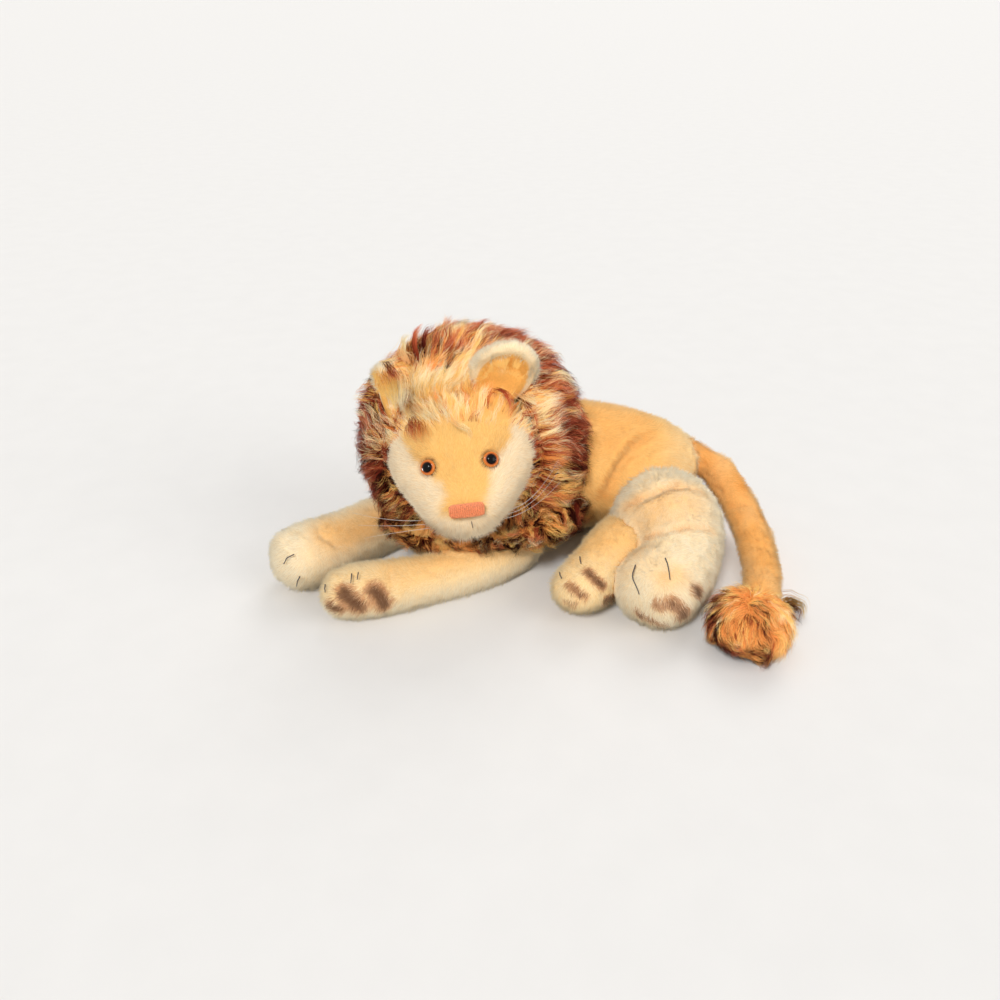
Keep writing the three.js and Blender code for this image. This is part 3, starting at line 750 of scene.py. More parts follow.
# Short pile: the room that it needs in millimetres, and how far it leans, sways and strays
PILE_ROOM = 2.0
PILE_COMB = 0.75
PILE_SWAY = 1.1
PILE_CRUSH = 1.2
PILE_STRAY = 0.16
COLOUR_STRAY = 0.6 * MM
PILE_OVER_FLOOR = 0.3 * MM
PILE_ROOT = 0.2 * MM
# Painted light: the tips of the short pile made lighter
TIP_LIGHT_GAIN = 1.14
PILE_SPAN = (0.46, 0.54)


def length_at(length_mm, points):
    return length_mm(points) if callable(length_mm) else length_mm


def short_pile(node, density, length_mm, flow, colour, lift=0.85, facing=None):
    """Dense straight pile, combed along a flow."""
    roots, normals = scatter(skins[node].data, density)
    free = clear_of_neighbours(node, roots, normals, PILE_ROOM)
    roots, normals = roots[free], normals[free]
    count = len(roots)
    comb = tangent(flow(roots), normals)
    sway = (drift.at(roots, 20) - 0.5)[:, None] * np.cross(normals, comb) * PILE_SWAY
    crush = np.stack([grain.at(roots + shift, 3.5) for shift in (0, 0.2, 0.5)], axis=1) - 0.5
    stray = rng.normal(scale=PILE_STRAY, size=(count, 3))
    direction = unit(normals * lift + comb * PILE_COMB + sway + crush * PILE_CRUSH + stray)
    length = length_at(length_mm, roots) * MM * rng.uniform(0.7, 1.3, count)
    length = length * (0.85 + 0.3 * drift.at(roots, 6))
    tips = roots + direction * length[:, None]
    tips[:, 2] = np.maximum(tips[:, 2], PILE_OVER_FLOOR)
    paths = np.stack([roots - normals * PILE_ROOT, tips], axis=1)
    base = colour(roots + rng.normal(scale=COLOUR_STRAY, size=(count, 3)))
    tone = base * rng.uniform(0.82, 1.12, (count, 1))
    # Painted shade at the roots and painted light at the tips stand in for the shadows that the short pile does
    # not cast
    knots = capped(np.stack([tone * WARM_ROOT_SHADE, tone, tone * TIP_LIGHT_GAIN], axis=1))
    thickness = PILE_THICKNESS * rng.uniform(0.8, 1.2, count)
    shaded = facing(roots, normals) if facing else normals
    hair(f"{node}_pile", node, paths, thickness, knots, shaded, uv_span=PILE_SPAN, soft=0.75)


# Long pile in locks
LOCK_ROOM = 2.4
LOCK_STEPS = 6
LOCK_ROOT = 0.5 * MM
LOCK_STRAY = 0.2
PHASE_STRAY = 0.25
DRAWN_TOGETHER = 0.12
WISP = 0.9 * MM
JITTER = 0.3 * MM
STRAY_SHARE = 0.15


def grow(roots, normals, length, heading, surface_normal, lift):
    """Paths that leave the skin, then lie down along the heading."""
    path = [roots]
    point, normal = roots, normals
    for rise in np.linspace(*lift, LOCK_STEPS - 1):
        direction = unit(tangent(heading(point), normal) + normal * rise)
        point = point + direction * (length / (LOCK_STEPS - 1))[:, None]
        normal = surface_normal(point)
        path.append(point)
    return np.stack(path, axis=1)


def curl_of(paths, amplitude, turns, phase):
    """Sideways waves that grow toward the tips."""
    share = np.linspace(0, 1, paths.shape[1])
    along = unit(paths[:, -1] - paths[:, 0])
    across = unit(np.cross(along, UP + 0.01))
    third = np.cross(along, across)
    angle = (phase[:, None] + share * turns[:, None] * 2 * np.pi)[..., None]
    size = (amplitude[:, None] * share**0.9)[..., None]
    return size * (across[:, None] * np.cos(angle) + third[:, None] * np.sin(angle))


def nearest(points, targets):
    tree = KDTree(len(targets))
    for i, target in enumerate(targets):
        tree.insert(target, i)
    tree.balance()
    return np.array([tree.find(p)[1] for p in points])


def long_pile(node, density, lock_density, length_mm, heading, surface_normal, tone_of, keep=None,
              lift=(0.9, 0.15), clump=0.7, curl_mm=1.5, name=None):
    """Mohair grown in locks that draw together and curl at their tips."""
    roots, normals = scatter(skins[node].data, density)
    free = clear_of_neighbours(node, roots, normals, LOCK_ROOM)
    if keep is not None:
        free &= keep(roots, normals)
    roots, normals = roots[free], normals[free]
    count = len(roots)
    starts = rng.choice(count, int(count * lock_density / density), replace=False)
    lock = nearest(roots, roots[starts])
    locks = len(starts)
    lock_length = length_at(length_mm, roots[starts]) * MM * rng.uniform(0.75, 1.25, locks)
    stray = rng.normal(scale=LOCK_STRAY, size=(locks, 3))
    guide = grow(roots[starts], unit(normals[starts] + stray), lock_length, heading, surface_normal, lift)
    phase, turns = rng.uniform(0, 2 * np.pi, locks), rng.uniform(0.7, 1.9, locks)
    size = curl_mm * MM * rng.uniform(0.4, 1.4, locks)
    length = lock_length[lock] * rng.uniform(0.72, 1.12, count)
    own = grow(roots, normals, length, heading, surface_normal, lift)
    share = np.linspace(0, 1, LOCK_STEPS)[None, :, None]
    paths = mix(own, guide[lock] + (own - guide[lock]) * DRAWN_TOGETHER, clump * share**0.8)
    phase = phase[lock] + rng.normal(scale=PHASE_STRAY, size=count)
    paths = paths + curl_of(paths, size[lock], turns[lock], phase)
    wisp = rng.normal(scale=WISP, size=(count, 1, 3)) * share**1.5
    paths = paths + wisp + rng.normal(scale=JITTER, size=paths.shape) * share
    paths[..., 2] = np.maximum(paths[..., 2], HAIR_OVER_FLOOR)
    paths[:, 0] = roots - normals * LOCK_ROOT
    knots = tone_of(roots[starts])[lock]
    strays = rng.random(count) < STRAY_SHARE
    knots[strays] = tone_of(roots[strays])
    knots = capped(knots * rng.uniform(0.76, 1.22, (count, 1, 1)))
    thickness = LOCK_THICKNESS * rng.uniform(0.7, 1.3, count)
    if BODY_OF[node] == "head":
        shown = ~np.any([over_ears(paths[:, k]) for k in range(2, LOCK_STEPS)], axis=0)
        paths, thickness, knots = paths[shown], thickness[shown], knots[shown]
        normals, roots = normals[shown], roots[shown]
    order = np.argsort(in_head(roots)[:, 0])
    is_fair = knots[order, 1].mean(1) > FAIR_LEVEL
    for shade, group in (("fair", order[is_fair]), ("dark", order[~is_fair])):
        for k, first in enumerate(range(0, len(group), STRANDS_IN_PIECE)):
            part = group[first:first + STRANDS_IN_PIECE]
            label = f"{name or node}_{shade}_hair_{k + 1}"
            piece = hair(label, node, paths[part], thickness[part], knots[part], normals[part], soft=0.4)
            piece.visible_shadow = shade == "dark"


def pick_tones(weights):
    """One tone for each lock, drawn by weight."""
    total = np.cumsum(weights, axis=1)
    draw = rng.random((len(weights), 1)) * total[:, -1:]
    return TONES[(draw > total).sum(1)]


def tones_near(anchors):
    """Tone picker with weights blended from anchor places."""
    spots = place([a[0] for a in anchors])
    shares = np.zeros((len(anchors), len(TONES)))
    for row, (_, given) in zip(shares, anchors):
        row[:len(given)] = given
    shares = shares**SHARE_CONTRAST
    shares = shares / shares.sum(1, keepdims=True)

    def weights_at(points):
        gap = ((points[:, None] - spots) ** 2).sum(-1) / MM**2
        weight = (gap + ANCHOR_REACH) ** -3
        return weight @ shares / weight.sum(1, keepdims=True)

    def tone_of(points):
        depth = np.clip((patches.at(points, 7) - 0.5) * DEPTH_CONTRAST + 0.5, 0, 1)[:, None]
        liking = np.exp(-(((TONE_DEPTH - depth) / DEPTH_REACH) ** 2)) + 0.2
        weights = weights_at(points)
        knots = pick_tones(weights * liking).copy()
        # Roots in fair places are drawn halfway to the middle tone, taking off part of their painted shade
        fair = smooth(0.5, 0.85, weights[:, :3].sum(1))[:, None]
        knots[:, 0] = mix(knots[:, 0], knots[:, 1], 0.5 * fair)
        return knots

    def backing(points):
        return lighten(weights_at(points) @ TONES[:, 1], points)
    return tone_of, backing


# Mane: an ellipsoid in the head's frame
MANE_CENTRE = np.array([4, 18, 4])
MANE_HALVES = np.array([66, 40, 70])
MANE_TURN = turn_about(0, math.radians(-20))

# Mane and ruff, by place: shares of cream, gold, orange, rust, burgundy, dark and tipped, as far as given
MANE_SHARES = [
    ([-38, 2, 128], [3, 1, 2, 3, 1, 0.5]),
    ([-26, 5, 130], [0.5, 0.3, 1, 3, 3, 3]),
    ([-17, 0, 129], [1, 0.5, 2, 5, 2]),
    ([-8, 4, 133], [3, 0.5, 1.5, 3.5, 1]),
    ([4, 8, 135], [1.5, 0.3, 0.7, 5, 3, 1]),
    ([19, 8, 133], [3, 0.2, 0.4, 3.5, 2.5, 0.5]),
    ([30, 6, 127], [2, 0, 0.5, 4, 3, 1]),
    ([42, 6, 120], [0.3, 0, 0, 2, 5, 5]),
    ([48, 3, 110], [0, 0, 0, 1, 5, 8]),
    ([39, -4, 113], [4.8, 1.2, 1, 2.6, 0.8]),
    ([37, -11, 106], [1.5, 1.5, 2, 5, 1]),
    ([30, -15, 107], [2, 3, 3, 2.5, 0.3]),
    ([45, -12, 97], [0.7, 0.2, 0.8, 4.5, 3.2, 1]),
    ([54, -8, 89], [0.2, 0, 0.3, 3, 5, 4]),
    ([45, -18, 83], [0.9, 0.4, 1, 4.5, 2.8, 1]),
    ([57, -10, 71], [0.1, 0, 0.2, 1.5, 5, 6]),
    ([39, -24, 74], [1.3, 1.2, 2.3, 4.2, 1.3, 0.6, 0.5]),
    ([49, -21, 64], [0.1, 0.1, 0.3, 1.5, 3, 9, 0.3]),
    ([37, -27, 63], [1.5, 2.5, 2, 3, 1, 1.5, 2]),
    ([61, 0, 48], [0, 0, 0.1, 1.5, 4, 8.8, 0.5]),
    ([48, -20, 46], [0.8, 3, 1.8, 2, 1, 2.5, 3]),
    ([34, -29, 47], [1, 4, 3, 1, 0.3, 1.2, 3]),
    ([58, -17, 36], [0.1, 0.5, 0.4, 1, 2, 8.8, 2]),
    ([30, -37, 39], [0.5, 2, 2, 2, 1.6, 4, 3]),
    ([15, -42, 35], [1, 3.5, 2, 1, 0.5, 5, 3]),
    ([6, -43, 34], [0.7, 2.2, 1.6, 1, 0.8, 6, 3]),
    ([-48, 7, 117], [1, 1, 1, 1, 2, 2]),
    ([-40, -3, 116], [3, 3, 3.5, 2]),
    ([-26, -5, 121], [3, 4, 5, 1]),
    ([-12, -11, 120], [4, 6, 2, 0.3]),
    ([1, -15, 114], [2, 6, 3, 0.7]),
    ([-17, -16, 110], [6, 5, 0.6]),
    ([-36, -9, 107], [6, 5, 1]),
    ([12, -18, 109], [2, 5, 3, 1]),
    ([22, -19, 104], [6, 4, 1, 0.3]),
    ([29, -18, 101], [8, 2, 0.5, 0.3]),
    ([33, -19, 97], [8, 1, 0.5, 1]),
    ([38, -20, 89], [6, 1, 1, 3, 0.5]),
    ([-29, -18, 102], [8, 4, 0.5]),
    ([-36, -24, 101], [8, 3, 1, 0.5]),
    ([-45, -16, 91], [4, 1, 1, 2.5, 1.5, 0.5]),
    ([-45, -10, 102], [3, 2.5, 1, 2, 1, 0.2]),
    ([-53, -8, 95], [1, 0.5, 1, 3, 4, 2]),
    ([-60, -6, 81], [0.3, 0, 0.3, 2, 5, 5]),
    ([-62, -6, 68], [0.1, 0, 0.2, 1.5, 5, 6]),
    ([-51, -17, 76], [1.5, 0.5, 0.7, 3.5, 3.5, 1.2]),
    ([-60, -9, 53], [0.1, 0.2, 0.3, 2.5, 5, 3.8]),
    ([-45, -23, 57], [0.3, 2, 1.2, 1.5, 1.5, 7.5, 2]),
    ([-54, -13, 42], [0.1, 1.5, 2.4, 3, 2, 1.9, 2]),
    ([-49, -13, 31], [0.1, 1.5, 1.8, 2, 2, 5, 3]),
    ([-35, -27, 41], [0.2, 1.5, 1.2, 1.5, 1.5, 8.8, 2]),
    ([-28, -30, 32], [0.2, 2, 2.4, 1.5, 1, 2.5, 3]),
    ([-11, -40, 34], [0.3, 1.5, 1.8, 1, 1, 5, 3]),
    ([-38, -31, 31], [0.1, 2, 2.4, 1.5, 1.5, 3.8, 3]),
    ([20, 20, 126], [0.5, 0.3, 1, 3, 5, 2]),
    ([-30, 20, 122], [1, 0.5, 2, 3, 4, 1]),
    ([0, 45, 108], [0.3, 0.5, 1, 3, 5, 3]),
    ([40, 40, 80], [0.2, 0.4, 0.5, 2, 5, 4]),
    ([-50, 40, 80], [0.3, 0.5, 1, 3, 5, 3]),
    ([0, 58, 70], [0.5, 1, 1, 2, 4, 3, 1]),
    ([0, 50, 38], [0.3, 2, 1, 2, 3, 3, 3]),
]


def mane_normal(points):
    local = (in_head(points) - MANE_CENTRE) @ MANE_TURN
    return from_head_direction(unit((local / MANE_HALVES**2) @ MANE_TURN.T))


def from_face(q):
    """Directions outward from the middle of the face, in its plane."""
    return unit((q - [2, 0, 4]) * [1, 0, 1])


def mane_heading(points):
    """Outward from the face, then back over the crown and down behind."""
    q = in_head(points)
    behind = smooth(10, 45, q[:, 1])[:, None]
    back = np.array([0, 0.7, 0]) * (1 - behind) + np.array([0, 0.2, -1.6]) * behind
    droop = smooth(20, 42, np.abs(q[:, 0]))[:, None] * np.array([0, 0.2, -1.0])
    sweep = smooth(40, 56, q[:, 2])[:, None] * np.array([0.9, 0, -0.3])
    heading = from_face(q) + back + droop + sweep
    return from_head_direction(heading + swirl(q * MM, 24, 1.3) + swirl(q * MM, 8, 1.5))


def mane_length(points):
    x, y, z = in_head(points).T
    front = smooth(0, -16, y)
    low = smooth(-8, -34, z) * smooth(24, 40, np.abs(x))
    nape = smooth(20, 36, y) * smooth(0, -20, z)
    return 16 - 4 * front + 9 * low + 5 * nape


def mane_keep(points, normals):
    """Hair grows on the outer side only, and not over the cups of the ears."""
    outward = (mane_normal(points) * normals).sum(1)
    return (outward > -0.1) & ~over_ears(points)


# Ears, in millimetres from each ear's middle, with its cup open toward -Y
EARS = ("left_ear", "right_ear")
EAR_PLACES = {"left_ear": (27.5, 2, 49), "right_ear": (-32.5, 2, 43)}
EAR_LEANS = {"left_ear": math.radians(24), "right_ear": math.radians(14)}
EAR_TURNS = {"left_ear": math.radians(8), "right_ear": math.radians(-60)}
EAR_FOLD = math.radians(14)
EAR_WIDTH, EAR_HEIGHT = 18, 22
EAR_CLEAR = -3
BEFORE_CUP = -16
BEHIND_CUP = 5
CUP_WIDTH, CUP_HEIGHT = 12.5, 18.5
CUP_DROP = 2
CLEAR_UP_TO = {"left_ear": 20, "right_ear": -1}
FOOT_RISE = -4
RIM_SHIFTS = {"left_ear": (0, -5, 2), "right_ear": (0, -2, -3)}
DRAWN_IN = {"left_ear": 0, "right_ear": 1}
FOOT_SHARES = np.array([4.0, 4, 2, 1, 0, 0, 0])


def ear_turn(ear):
    return turn_about(1, EAR_LEANS[ear]) @ turn_about(2, EAR_TURNS[ear]) @ turn_about(0, EAR_FOLD)


def in_ear(points, ear):
    return (in_head(points) - EAR_PLACES[ear]) @ ear_turn(ear)


def from_ear_direction(vectors, ear):
    return from_head_direction(vectors @ ear_turn(ear).T)


def over_ears(points):
    hidden = np.zeros(len(points), bool)
    for ear in EARS:
        x, y, z = in_ear(points, ear).T
        disc = (x / EAR_WIDTH) ** 2 + (z / EAR_HEIGHT) ** 2
        hidden |= (disc < 0.9) & (y > BEFORE_CUP) & (y < 1) & (z > EAR_CLEAR) & (x < CLEAR_UP_TO[ear])
    return hidden


def draw_behind_ears(mesh):
    """Pulls the backing out of the cups of the ears."""
    points = vertices_of(mesh)
    for ear in EARS:
        x, y, z = in_ear(points, ear).T
        cup = ((x / EAR_WIDTH) ** 2 + (z / EAR_HEIGHT) ** 2 < 1) & (y > BEFORE_CUP) & (y < BEHIND_CUP)
        away = from_ear_direction(np.array([0, 1.0, 0]), ear)
        points[cup] += (BEHIND_CUP - y[cup])[:, None] * away * MM
    mesh.vertices.foreach_set("co", points.ravel())
    mesh.update()


def from_cup_middle(points, ear):
    """0 at the middle of the cup, 1 at its rim."""
    x, _, z = in_ear(points, ear).T
    return (x / CUP_WIDTH) ** 2 + ((z + CUP_DROP) / CUP_HEIGHT) ** 2


def ear_colour(ear):
    """Cream fabric rolled over the edge of a gold lining."""
    def colour(points):
        depth = in_ear(points, ear)[:, 1]
        lining = smooth(1.2, 1.0, from_cup_middle(points, ear)) * smooth(4, 1.5, depth)
        return lighten(blend(EAR_CREAM, EAR_GOLD, lining), points)
    return colour


def fold_rim(ear):
    """Moves the upper rim over the cup, and draws the side next to the forehead into the mane."""
    def shift(points):
        x, _, z = in_ear(points, ear).T
        move = smooth(0, 18, z)[:, None] * np.array(RIM_SHIFTS[ear], float)
        move[:, 2] -= DRAWN_IN[ear] * smooth(0, 9, x) * np.maximum(z + 14, 0)
        return from_ear_direction(move, ear) * MM
    return shift


def out_of_cup(ear):
    """Pile inside the cup takes the light that falls into it."""
    outward = from_ear_direction(np.array([0, -1.0, 0.6]), ear)

    def facing(points, normals):
        depth = in_ear(points, ear)[:, 1]
        inside = smooth(1.25, 0.9, from_cup_middle(points, ear)) * smooth(4.5, 2.5, depth)
        return unit(blend(normals, outward, 0.85 * inside))
    return facing


def foot_of(ear):
    return lambda points, normals: in_ear(points, ear)[:, 2] < FOOT_RISE


def foot_tones(points):
    return pick_tones(np.tile(FOOT_SHARES, (len(points), 1)))


def foot_heading(points):
    q = in_head(points)
    outward = np.sign(q[:, :1]) * np.array([0.5, 0, 0])
    return from_head_direction(outward + np.array([0, 0.3, 1])) + swirl(points, 8, 0.6)


# Hair on the head's rim, which bridges the seam to the mane
RIM_WIDTH = 4.0


def gap_to_mane(points):
    tree = SOLIDS["mane"].tree
    return np.array([tree.find_nearest(p)[3] for p in points]) / MM


def by_the_mane(points, normals):
    """True on the head where the mane begins."""
    x, y, z = in_head(points).T
    width = RIM_WIDTH * (1 + 1.4 * smooth(20, 30, z) + 1.8 * smooth(-14, -24, x) * smooth(8, -4, z))
    ragged = width * rng.uniform(0.6, 1.4, len(x))
    return (gap_to_mane(points) < ragged) & (y < 6) & ~over_ears(points)


def rim_heading(points):
    return from_head_direction(from_face(in_head(points)) + [0, 0.5, 0])


def rim_length(points):
    """Longest over the brow, where it bridges the seam."""
    return 8 + 7 * smooth(22, 30, in_head(points)[:, 2]) * smooth(9, 3, gap_to_mane(points))


def rim_normal(points):
    return from_head_direction(unit(in_head(points) / np.array([49.5, 60, 38]) ** 2))


# Ruff and tail tuft, in millimetres from the floor under the neck
RUFF_CENTRE = np.array([2, 0, 35])
RUFF_HALVES = np.array([62, 44, 25])


def ruff_normal(points):
    return unit((from_floor(points) - RUFF_CENTRE) / RUFF_HALVES**2)


def ruff_heading(points):
    out = unit((from_floor(points) - RUFF_CENTRE) * [1, 1, 0])
    return out - UP * 0.15 + swirl(points, 16, 1.2) + swirl(points, 7, 1.4)


TUFT_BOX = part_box("tail_tuft")
TUFT_CENTRE = (np.array(TUFT_BOX[0]) + np.array(TUFT_BOX[1])) / 2
TUFT_ROOT = place([150, -62, 30])
TUFT_SHARES = [
    ([146, -74, 28], [1, 4, 4, 0.5, 0.5, 1, 3]),
    ([122, -82, 16], [2, 2, 1, 1, 1, 5, 2]),
    ([122, -100, 6], [0, 0, 0.3, 1.5, 3, 9, 1]),
    ([164, -90, 16], [3, 4, 2, 0.5, 0.5, 1, 2]),
    ([142, -96, 28], [0.5, 4, 5, 1, 0.5, 1, 3]),
    ([134, -98, 20], [0, 2.5, 4, 1.5, 1, 2, 5]),
    ([142, -112, 8], [0.3, 0.5, 1, 1.5, 3, 7, 3]),
]


def tuft_normal(points):
    return unit(points - TUFT_CENTRE)


def tuft_heading(points):
    away = unit(points - TUFT_ROOT)
    return away + swirl(points, 14, 0.8) + swirl(points, 6, 0.5)


PILE_MATERIAL = fur_material("mohair_pile", 0.0, sheen=0.4)
LOCK_MATERIAL = fur_material("mohair_locks", 0.06)
SKIN_MATERIAL = skin_material("mohair_backing")


def toward(direction):
    return lambda points: np.tile(np.array(direction, float), (len(points), 1))


def face_flow(points):
    """Pile runs back from the nose, and down under it."""
    q = in_head(points)
    away = q - [0, -46, 2]
    away[:, 1] += 6
    flow = from_head_direction(unit(away))
    for eye in EYE_PLACES:
        inward = eye - points
        near = smooth(7.5, 5, np.linalg.norm(inward, axis=1) / MM)
        flow = blend(flow, unit(inward), 0.85 * near)
    return flow


def face_length(points):
    """Longer fuzz under the chin."""
    _, y, z = in_head(points).T
    return 2.8 + 2.6 * smooth(-4, -14, z) * smooth(-20, -34, y)


def tail_flow(points):
    aside = smooth(0, 40, from_floor(points)[:, 1])[:, None]
    return unit(aside * [1, 0, 0] + [0, -1, -0.5])


NO_FOLDS = folds([])
BODY_SKINS = [
    ("torso", 1.8, 10, 1.0, folds(TORSO_VALLEYS, TORSO_RIDGES), torso_colour),
    ("left_hind_leg", 1.6, 8, 1.1, folds(THIGH_VALLEYS), left_hind_colour),
    ("right_hind_leg", 1.6, 8, 1.1, NO_FOLDS, right_hind_colour),
    ("left_foreleg", 1.6, 8, 1.1, folds(NEAR_FORELEG_VALLEYS), left_fore_colour),
    ("right_foreleg", 1.6, 8, 0.8, folds(FORELEG_VALLEYS), right_fore_colour),
    ("tail", 1.4, 8, 1.0, folds(TAIL_VALLEYS), tail_colour),
]
for row in BODY_SKINS:
    make_skin(*row, lapped=True)
make_skin("head", 1.4, 10, 1.1, NO_FOLDS, head_colour)

mane_tones, mane_backing = tones_near(MANE_SHARES)
tuft_tones, tuft_backing = tones_near(TUFT_SHARES)
make_skin("mane", 2.2, 8, 6.0, NO_FOLDS, mane_backing)
make_skin("chest_ruff", 2.2, 8, 4.5, NO_FOLDS, mane_backing)
make_skin("tail_tuft", 1.8, 8, 5.5, NO_FOLDS, tuft_backing)
for ear in EARS:
    make_skin(ear, 0.9, 8, 0.4, NO_FOLDS, ear_colour(ear), bend=fold_rim(ear))
draw_behind_ears(skins["mane"].data)

# Random numbers are drawn in the order of these calls
long_pile("mane", 2.6, 0.28, mane_length, mane_heading, mane_normal, mane_tones, keep=mane_keep)
long_pile("head", 2.8, 0.3, rim_length, rim_heading, rim_normal, mane_tones, keep=by_the_mane,
          lift=(1.2, 0.4), curl_mm=1.0, name="face_rim")
long_pile("chest_ruff", 2.8, 0.19, 13.5, ruff_heading, ruff_normal, mane_tones, clump=0.78, curl_mm=2.3)
long_pile("tail_tuft", 3.4, 0.4, 12.0, tuft_heading, tuft_normal, tuft_tones, lift=(0.8, 0.3), curl_mm=1.0)
for ear in EARS:
    skins[ear].visible_shadow = False
    long_pile(ear, 3.4, 0.4, 9.0, foot_heading, rim_normal, foot_tones, keep=foot_of(ear),
              lift=(1.0, 0.5), curl_mm=1.0, name=f"{ear}_foot")
for ear in EARS:
    short_pile(ear, 3.6, 3.0, toward([0, -0.3, 1]), ear_colour(ear), lift=1.2, facing=out_of_cup(ear))
short_pile("torso", 2.2, 3.2, toward([0.8, -0.1, -0.6]), torso_colour)
short_pile("left_hind_leg", 2.6, 3.4, toward([0.1, -0.9, -0.5]), left_hind_colour)
short_pile("right_hind_leg", 2.6, 3.2, toward([-0.4, -0.8, -0.4]), right_hind_colour)
short_pile("left_foreleg", 2.6, 3.2, toward([-0.8, -0.4, -0.5]), left_fore_colour)
short_pile("right_foreleg", 2.6, 3.4, toward([-0.7, -0.6, -0.4]), right_fore_colour)
short_pile("tail", 2.6, 3.0, tail_flow, tail_colour)
short_pile("head", 2.8, face_length, face_flow, head_colour)

# Locks that lie over the brow, each a line of places, a count, a width and a tone
BROW_LOCKS = [
    ([[-40, -10, 101], [-33.6, -19, 98.8], [-29, -22, 97], [-23, -27, 96.5]], 50, 4, CREAM_TONE),
    ([[-33, -14, 104], [-27, -21, 101.4], [-21, -27, 100], [-16, -31, 99.5]], 50, 5, CREAM_TONE),
    ([[-22, -12, 109], [-19, -20, 105], [-14, -28, 101], [-12, -33, 98]], 40, 4, CREAM_TONE),
    ([[-33, -22, 98], [-32, -28, 94.5], [-31, -32, 92], [-30, -36, 88]], 50, 8, RUST_TONE),
    ([[-29, -26, 98], [-27, -33, 94.6], [-26, -37, 92], [-25, -41, 89]], 40, 8, ORANGE_TONE),
    ([[9, -17, 112], [15, -20, 110], [18, -25, 105], [16, -31, 99]], 40, 2.2, RUST_TONE),
    ([[20, -16, 109], [26, -18, 106], [31, -18, 103], [35, -16, 101]], 30, 6, CREAM_TONE),
    ([[-14, -30, 102], [-8, -37, 99.6], [-3, -39.4, 97.6], [0, -41, 94]], 16, 2.5, CREAM_TONE),
    ([[24, -10, 106], [28, -18, 100], [31, -22, 94], [31, -25, 89]], 26, 4, RUST_TONE),
    ([[30, -6, 103], [35, -12, 96], [38, -15, 88], [38, -17, 80]], 50, 5, CREAM_TONE),
]
FAR_EAR_LOCKS = [
    ([[-47, -17, 122], [-44, -22, 116], [-42, -24, 109], [-41, -24, 101]], 120, 8, GOLD_TONE),
    ([[-41, -17, 122], [-39, -22, 117], [-38, -26, 110], [-37, -26, 101]], 130, 7, CREAM_TONE),
    ([[-46, -14, 126], [-43, -18, 123], [-40, -21, 120], [-37, -23, 115]], 24, 2.6, BURGUNDY_TONE),
    ([[-45, -15, 125], [-42, -19, 122], [-39, -22, 118], [-36, -24, 112]], 30, 3.4, RUST_TONE),
]
CREST_LOCKS = [
    ([[-36, 0, 118], [-38, 1, 125], [-37, 2, 131], [-33, 3, 136]], 120, 9, CREAM_TONE),
    ([[-31, 0, 120], [-32, 1, 128], [-31, 2, 135], [-27, 3, 141]], 110, 7, RUST_TONE),
    ([[-27, 0, 122], [-27, 1, 130], [-25, 2, 136], [-20, 3, 140]], 70, 6, BURGUNDY_TONE),
]
TUFT_CURL = [
    ([[154, -78, 15], [162, -76, 18], [168, -79, 17], [169, -85, 13]], 110, 5, GOLD_TONE),
    ([[154, -80, 14], [161, -78, 16], [166, -81, 15], [166, -86, 12]], 50, 3, BURGUNDY_TONE),
]
LAID_LIFT = 2.0 * MM
LAID_STEPS = 8
LAID_WAVE = 0.5 * MM
LAID_RISE = 0.5 * MM


def laid_locks(name, node, table, normal_at=rim_normal):
    """Loose locks along chosen lines."""
    paths, knots, facing = [], [], []
    share = np.linspace(0, 1, LAID_STEPS)
    for line, count, width, tone in table:
        first, last = rng.uniform(0, 0.3, (count, 1)), rng.uniform(0.6, 1, (count, 1))
        along = mix(first, last, share)
        middle = between(along * (len(line) - 1), range(len(line)), place(line))
        normal = normal_at(middle.reshape(-1, 3)).reshape(middle.shape)
        middle = middle + normal * LAID_LIFT * np.sin(np.pi * mix(0.1, 1, along))[..., None]
        across = unit(np.cross(normal, np.gradient(middle, axis=1)))
        spread = rng.normal(scale=0.5, size=(count, 1)) * width * MM * (0.5 + 0.5 * np.sin(np.pi * along))
        phase = rng.uniform(0, 6.3, (count, 1))
        waves = np.sin(phase + share * rng.uniform(3, 8, (count, 1))) * LAID_WAVE
        rise = np.abs(rng.normal(scale=LAID_RISE, size=(count, 1, 1))) * normal
        paths.append(middle + across * (spread + waves)[..., None] + rise)
        knots.append(np.array(tone) * rng.uniform(0.8, 1.2, (count, 1, 1)))
        facing.append(normal[:, 3])
    paths, facing = np.concatenate(paths), np.concatenate(facing)
    knots = capped(np.concatenate(knots))
    hair(name, node, paths, np.full(len(paths), LAID_THICKNESS), knots, facing)


laid_locks("brow_locks", "mane", BROW_LOCKS + FAR_EAR_LOCKS + CREST_LOCKS)
laid_locks("tuft_curl", "tail_tuft", TUFT_CURL, tuft_normal)


# Round pieces
LATHE_SIDES = 48
THREAD_SIDE = [0.3, 0.9, 0.31]


def round_mesh(name, tubes):
    """One mesh of closed tubes, each given as its rings of points."""
    points, faces, start = [], [], 0
    for rings in tubes:
        count, sides, _ = rings.shape
        first, end = start + count * sides, start + (count - 1) * sides
        points += [rings.reshape(-1, 3), rings[[0, -1]].mean(1)]
        faces += [tuple(start + i for i in face) for face in ring_faces(count, sides)]
        for k in range(sides):
            faces.append((start + (k + 1) % sides, start + k, first))
            faces.append((end + k, end + (k + 1) % sides, first + 1))
        start = first + 2
    mesh = bpy.data.meshes.new(name)
    mesh.from_pydata(np.concatenate(points).tolist(), [], faces)
    shade_smooth(mesh)
    return mesh


def tube(points, radii, sides=8):
    """Rings of points along a path."""
    along = unit(np.gradient(points, axis=0))
    across = unit(np.cross(along, THREAD_SIDE))
    return points[:, None] + circles(across, np.cross(along, across), sides) * radii[:, None, None]


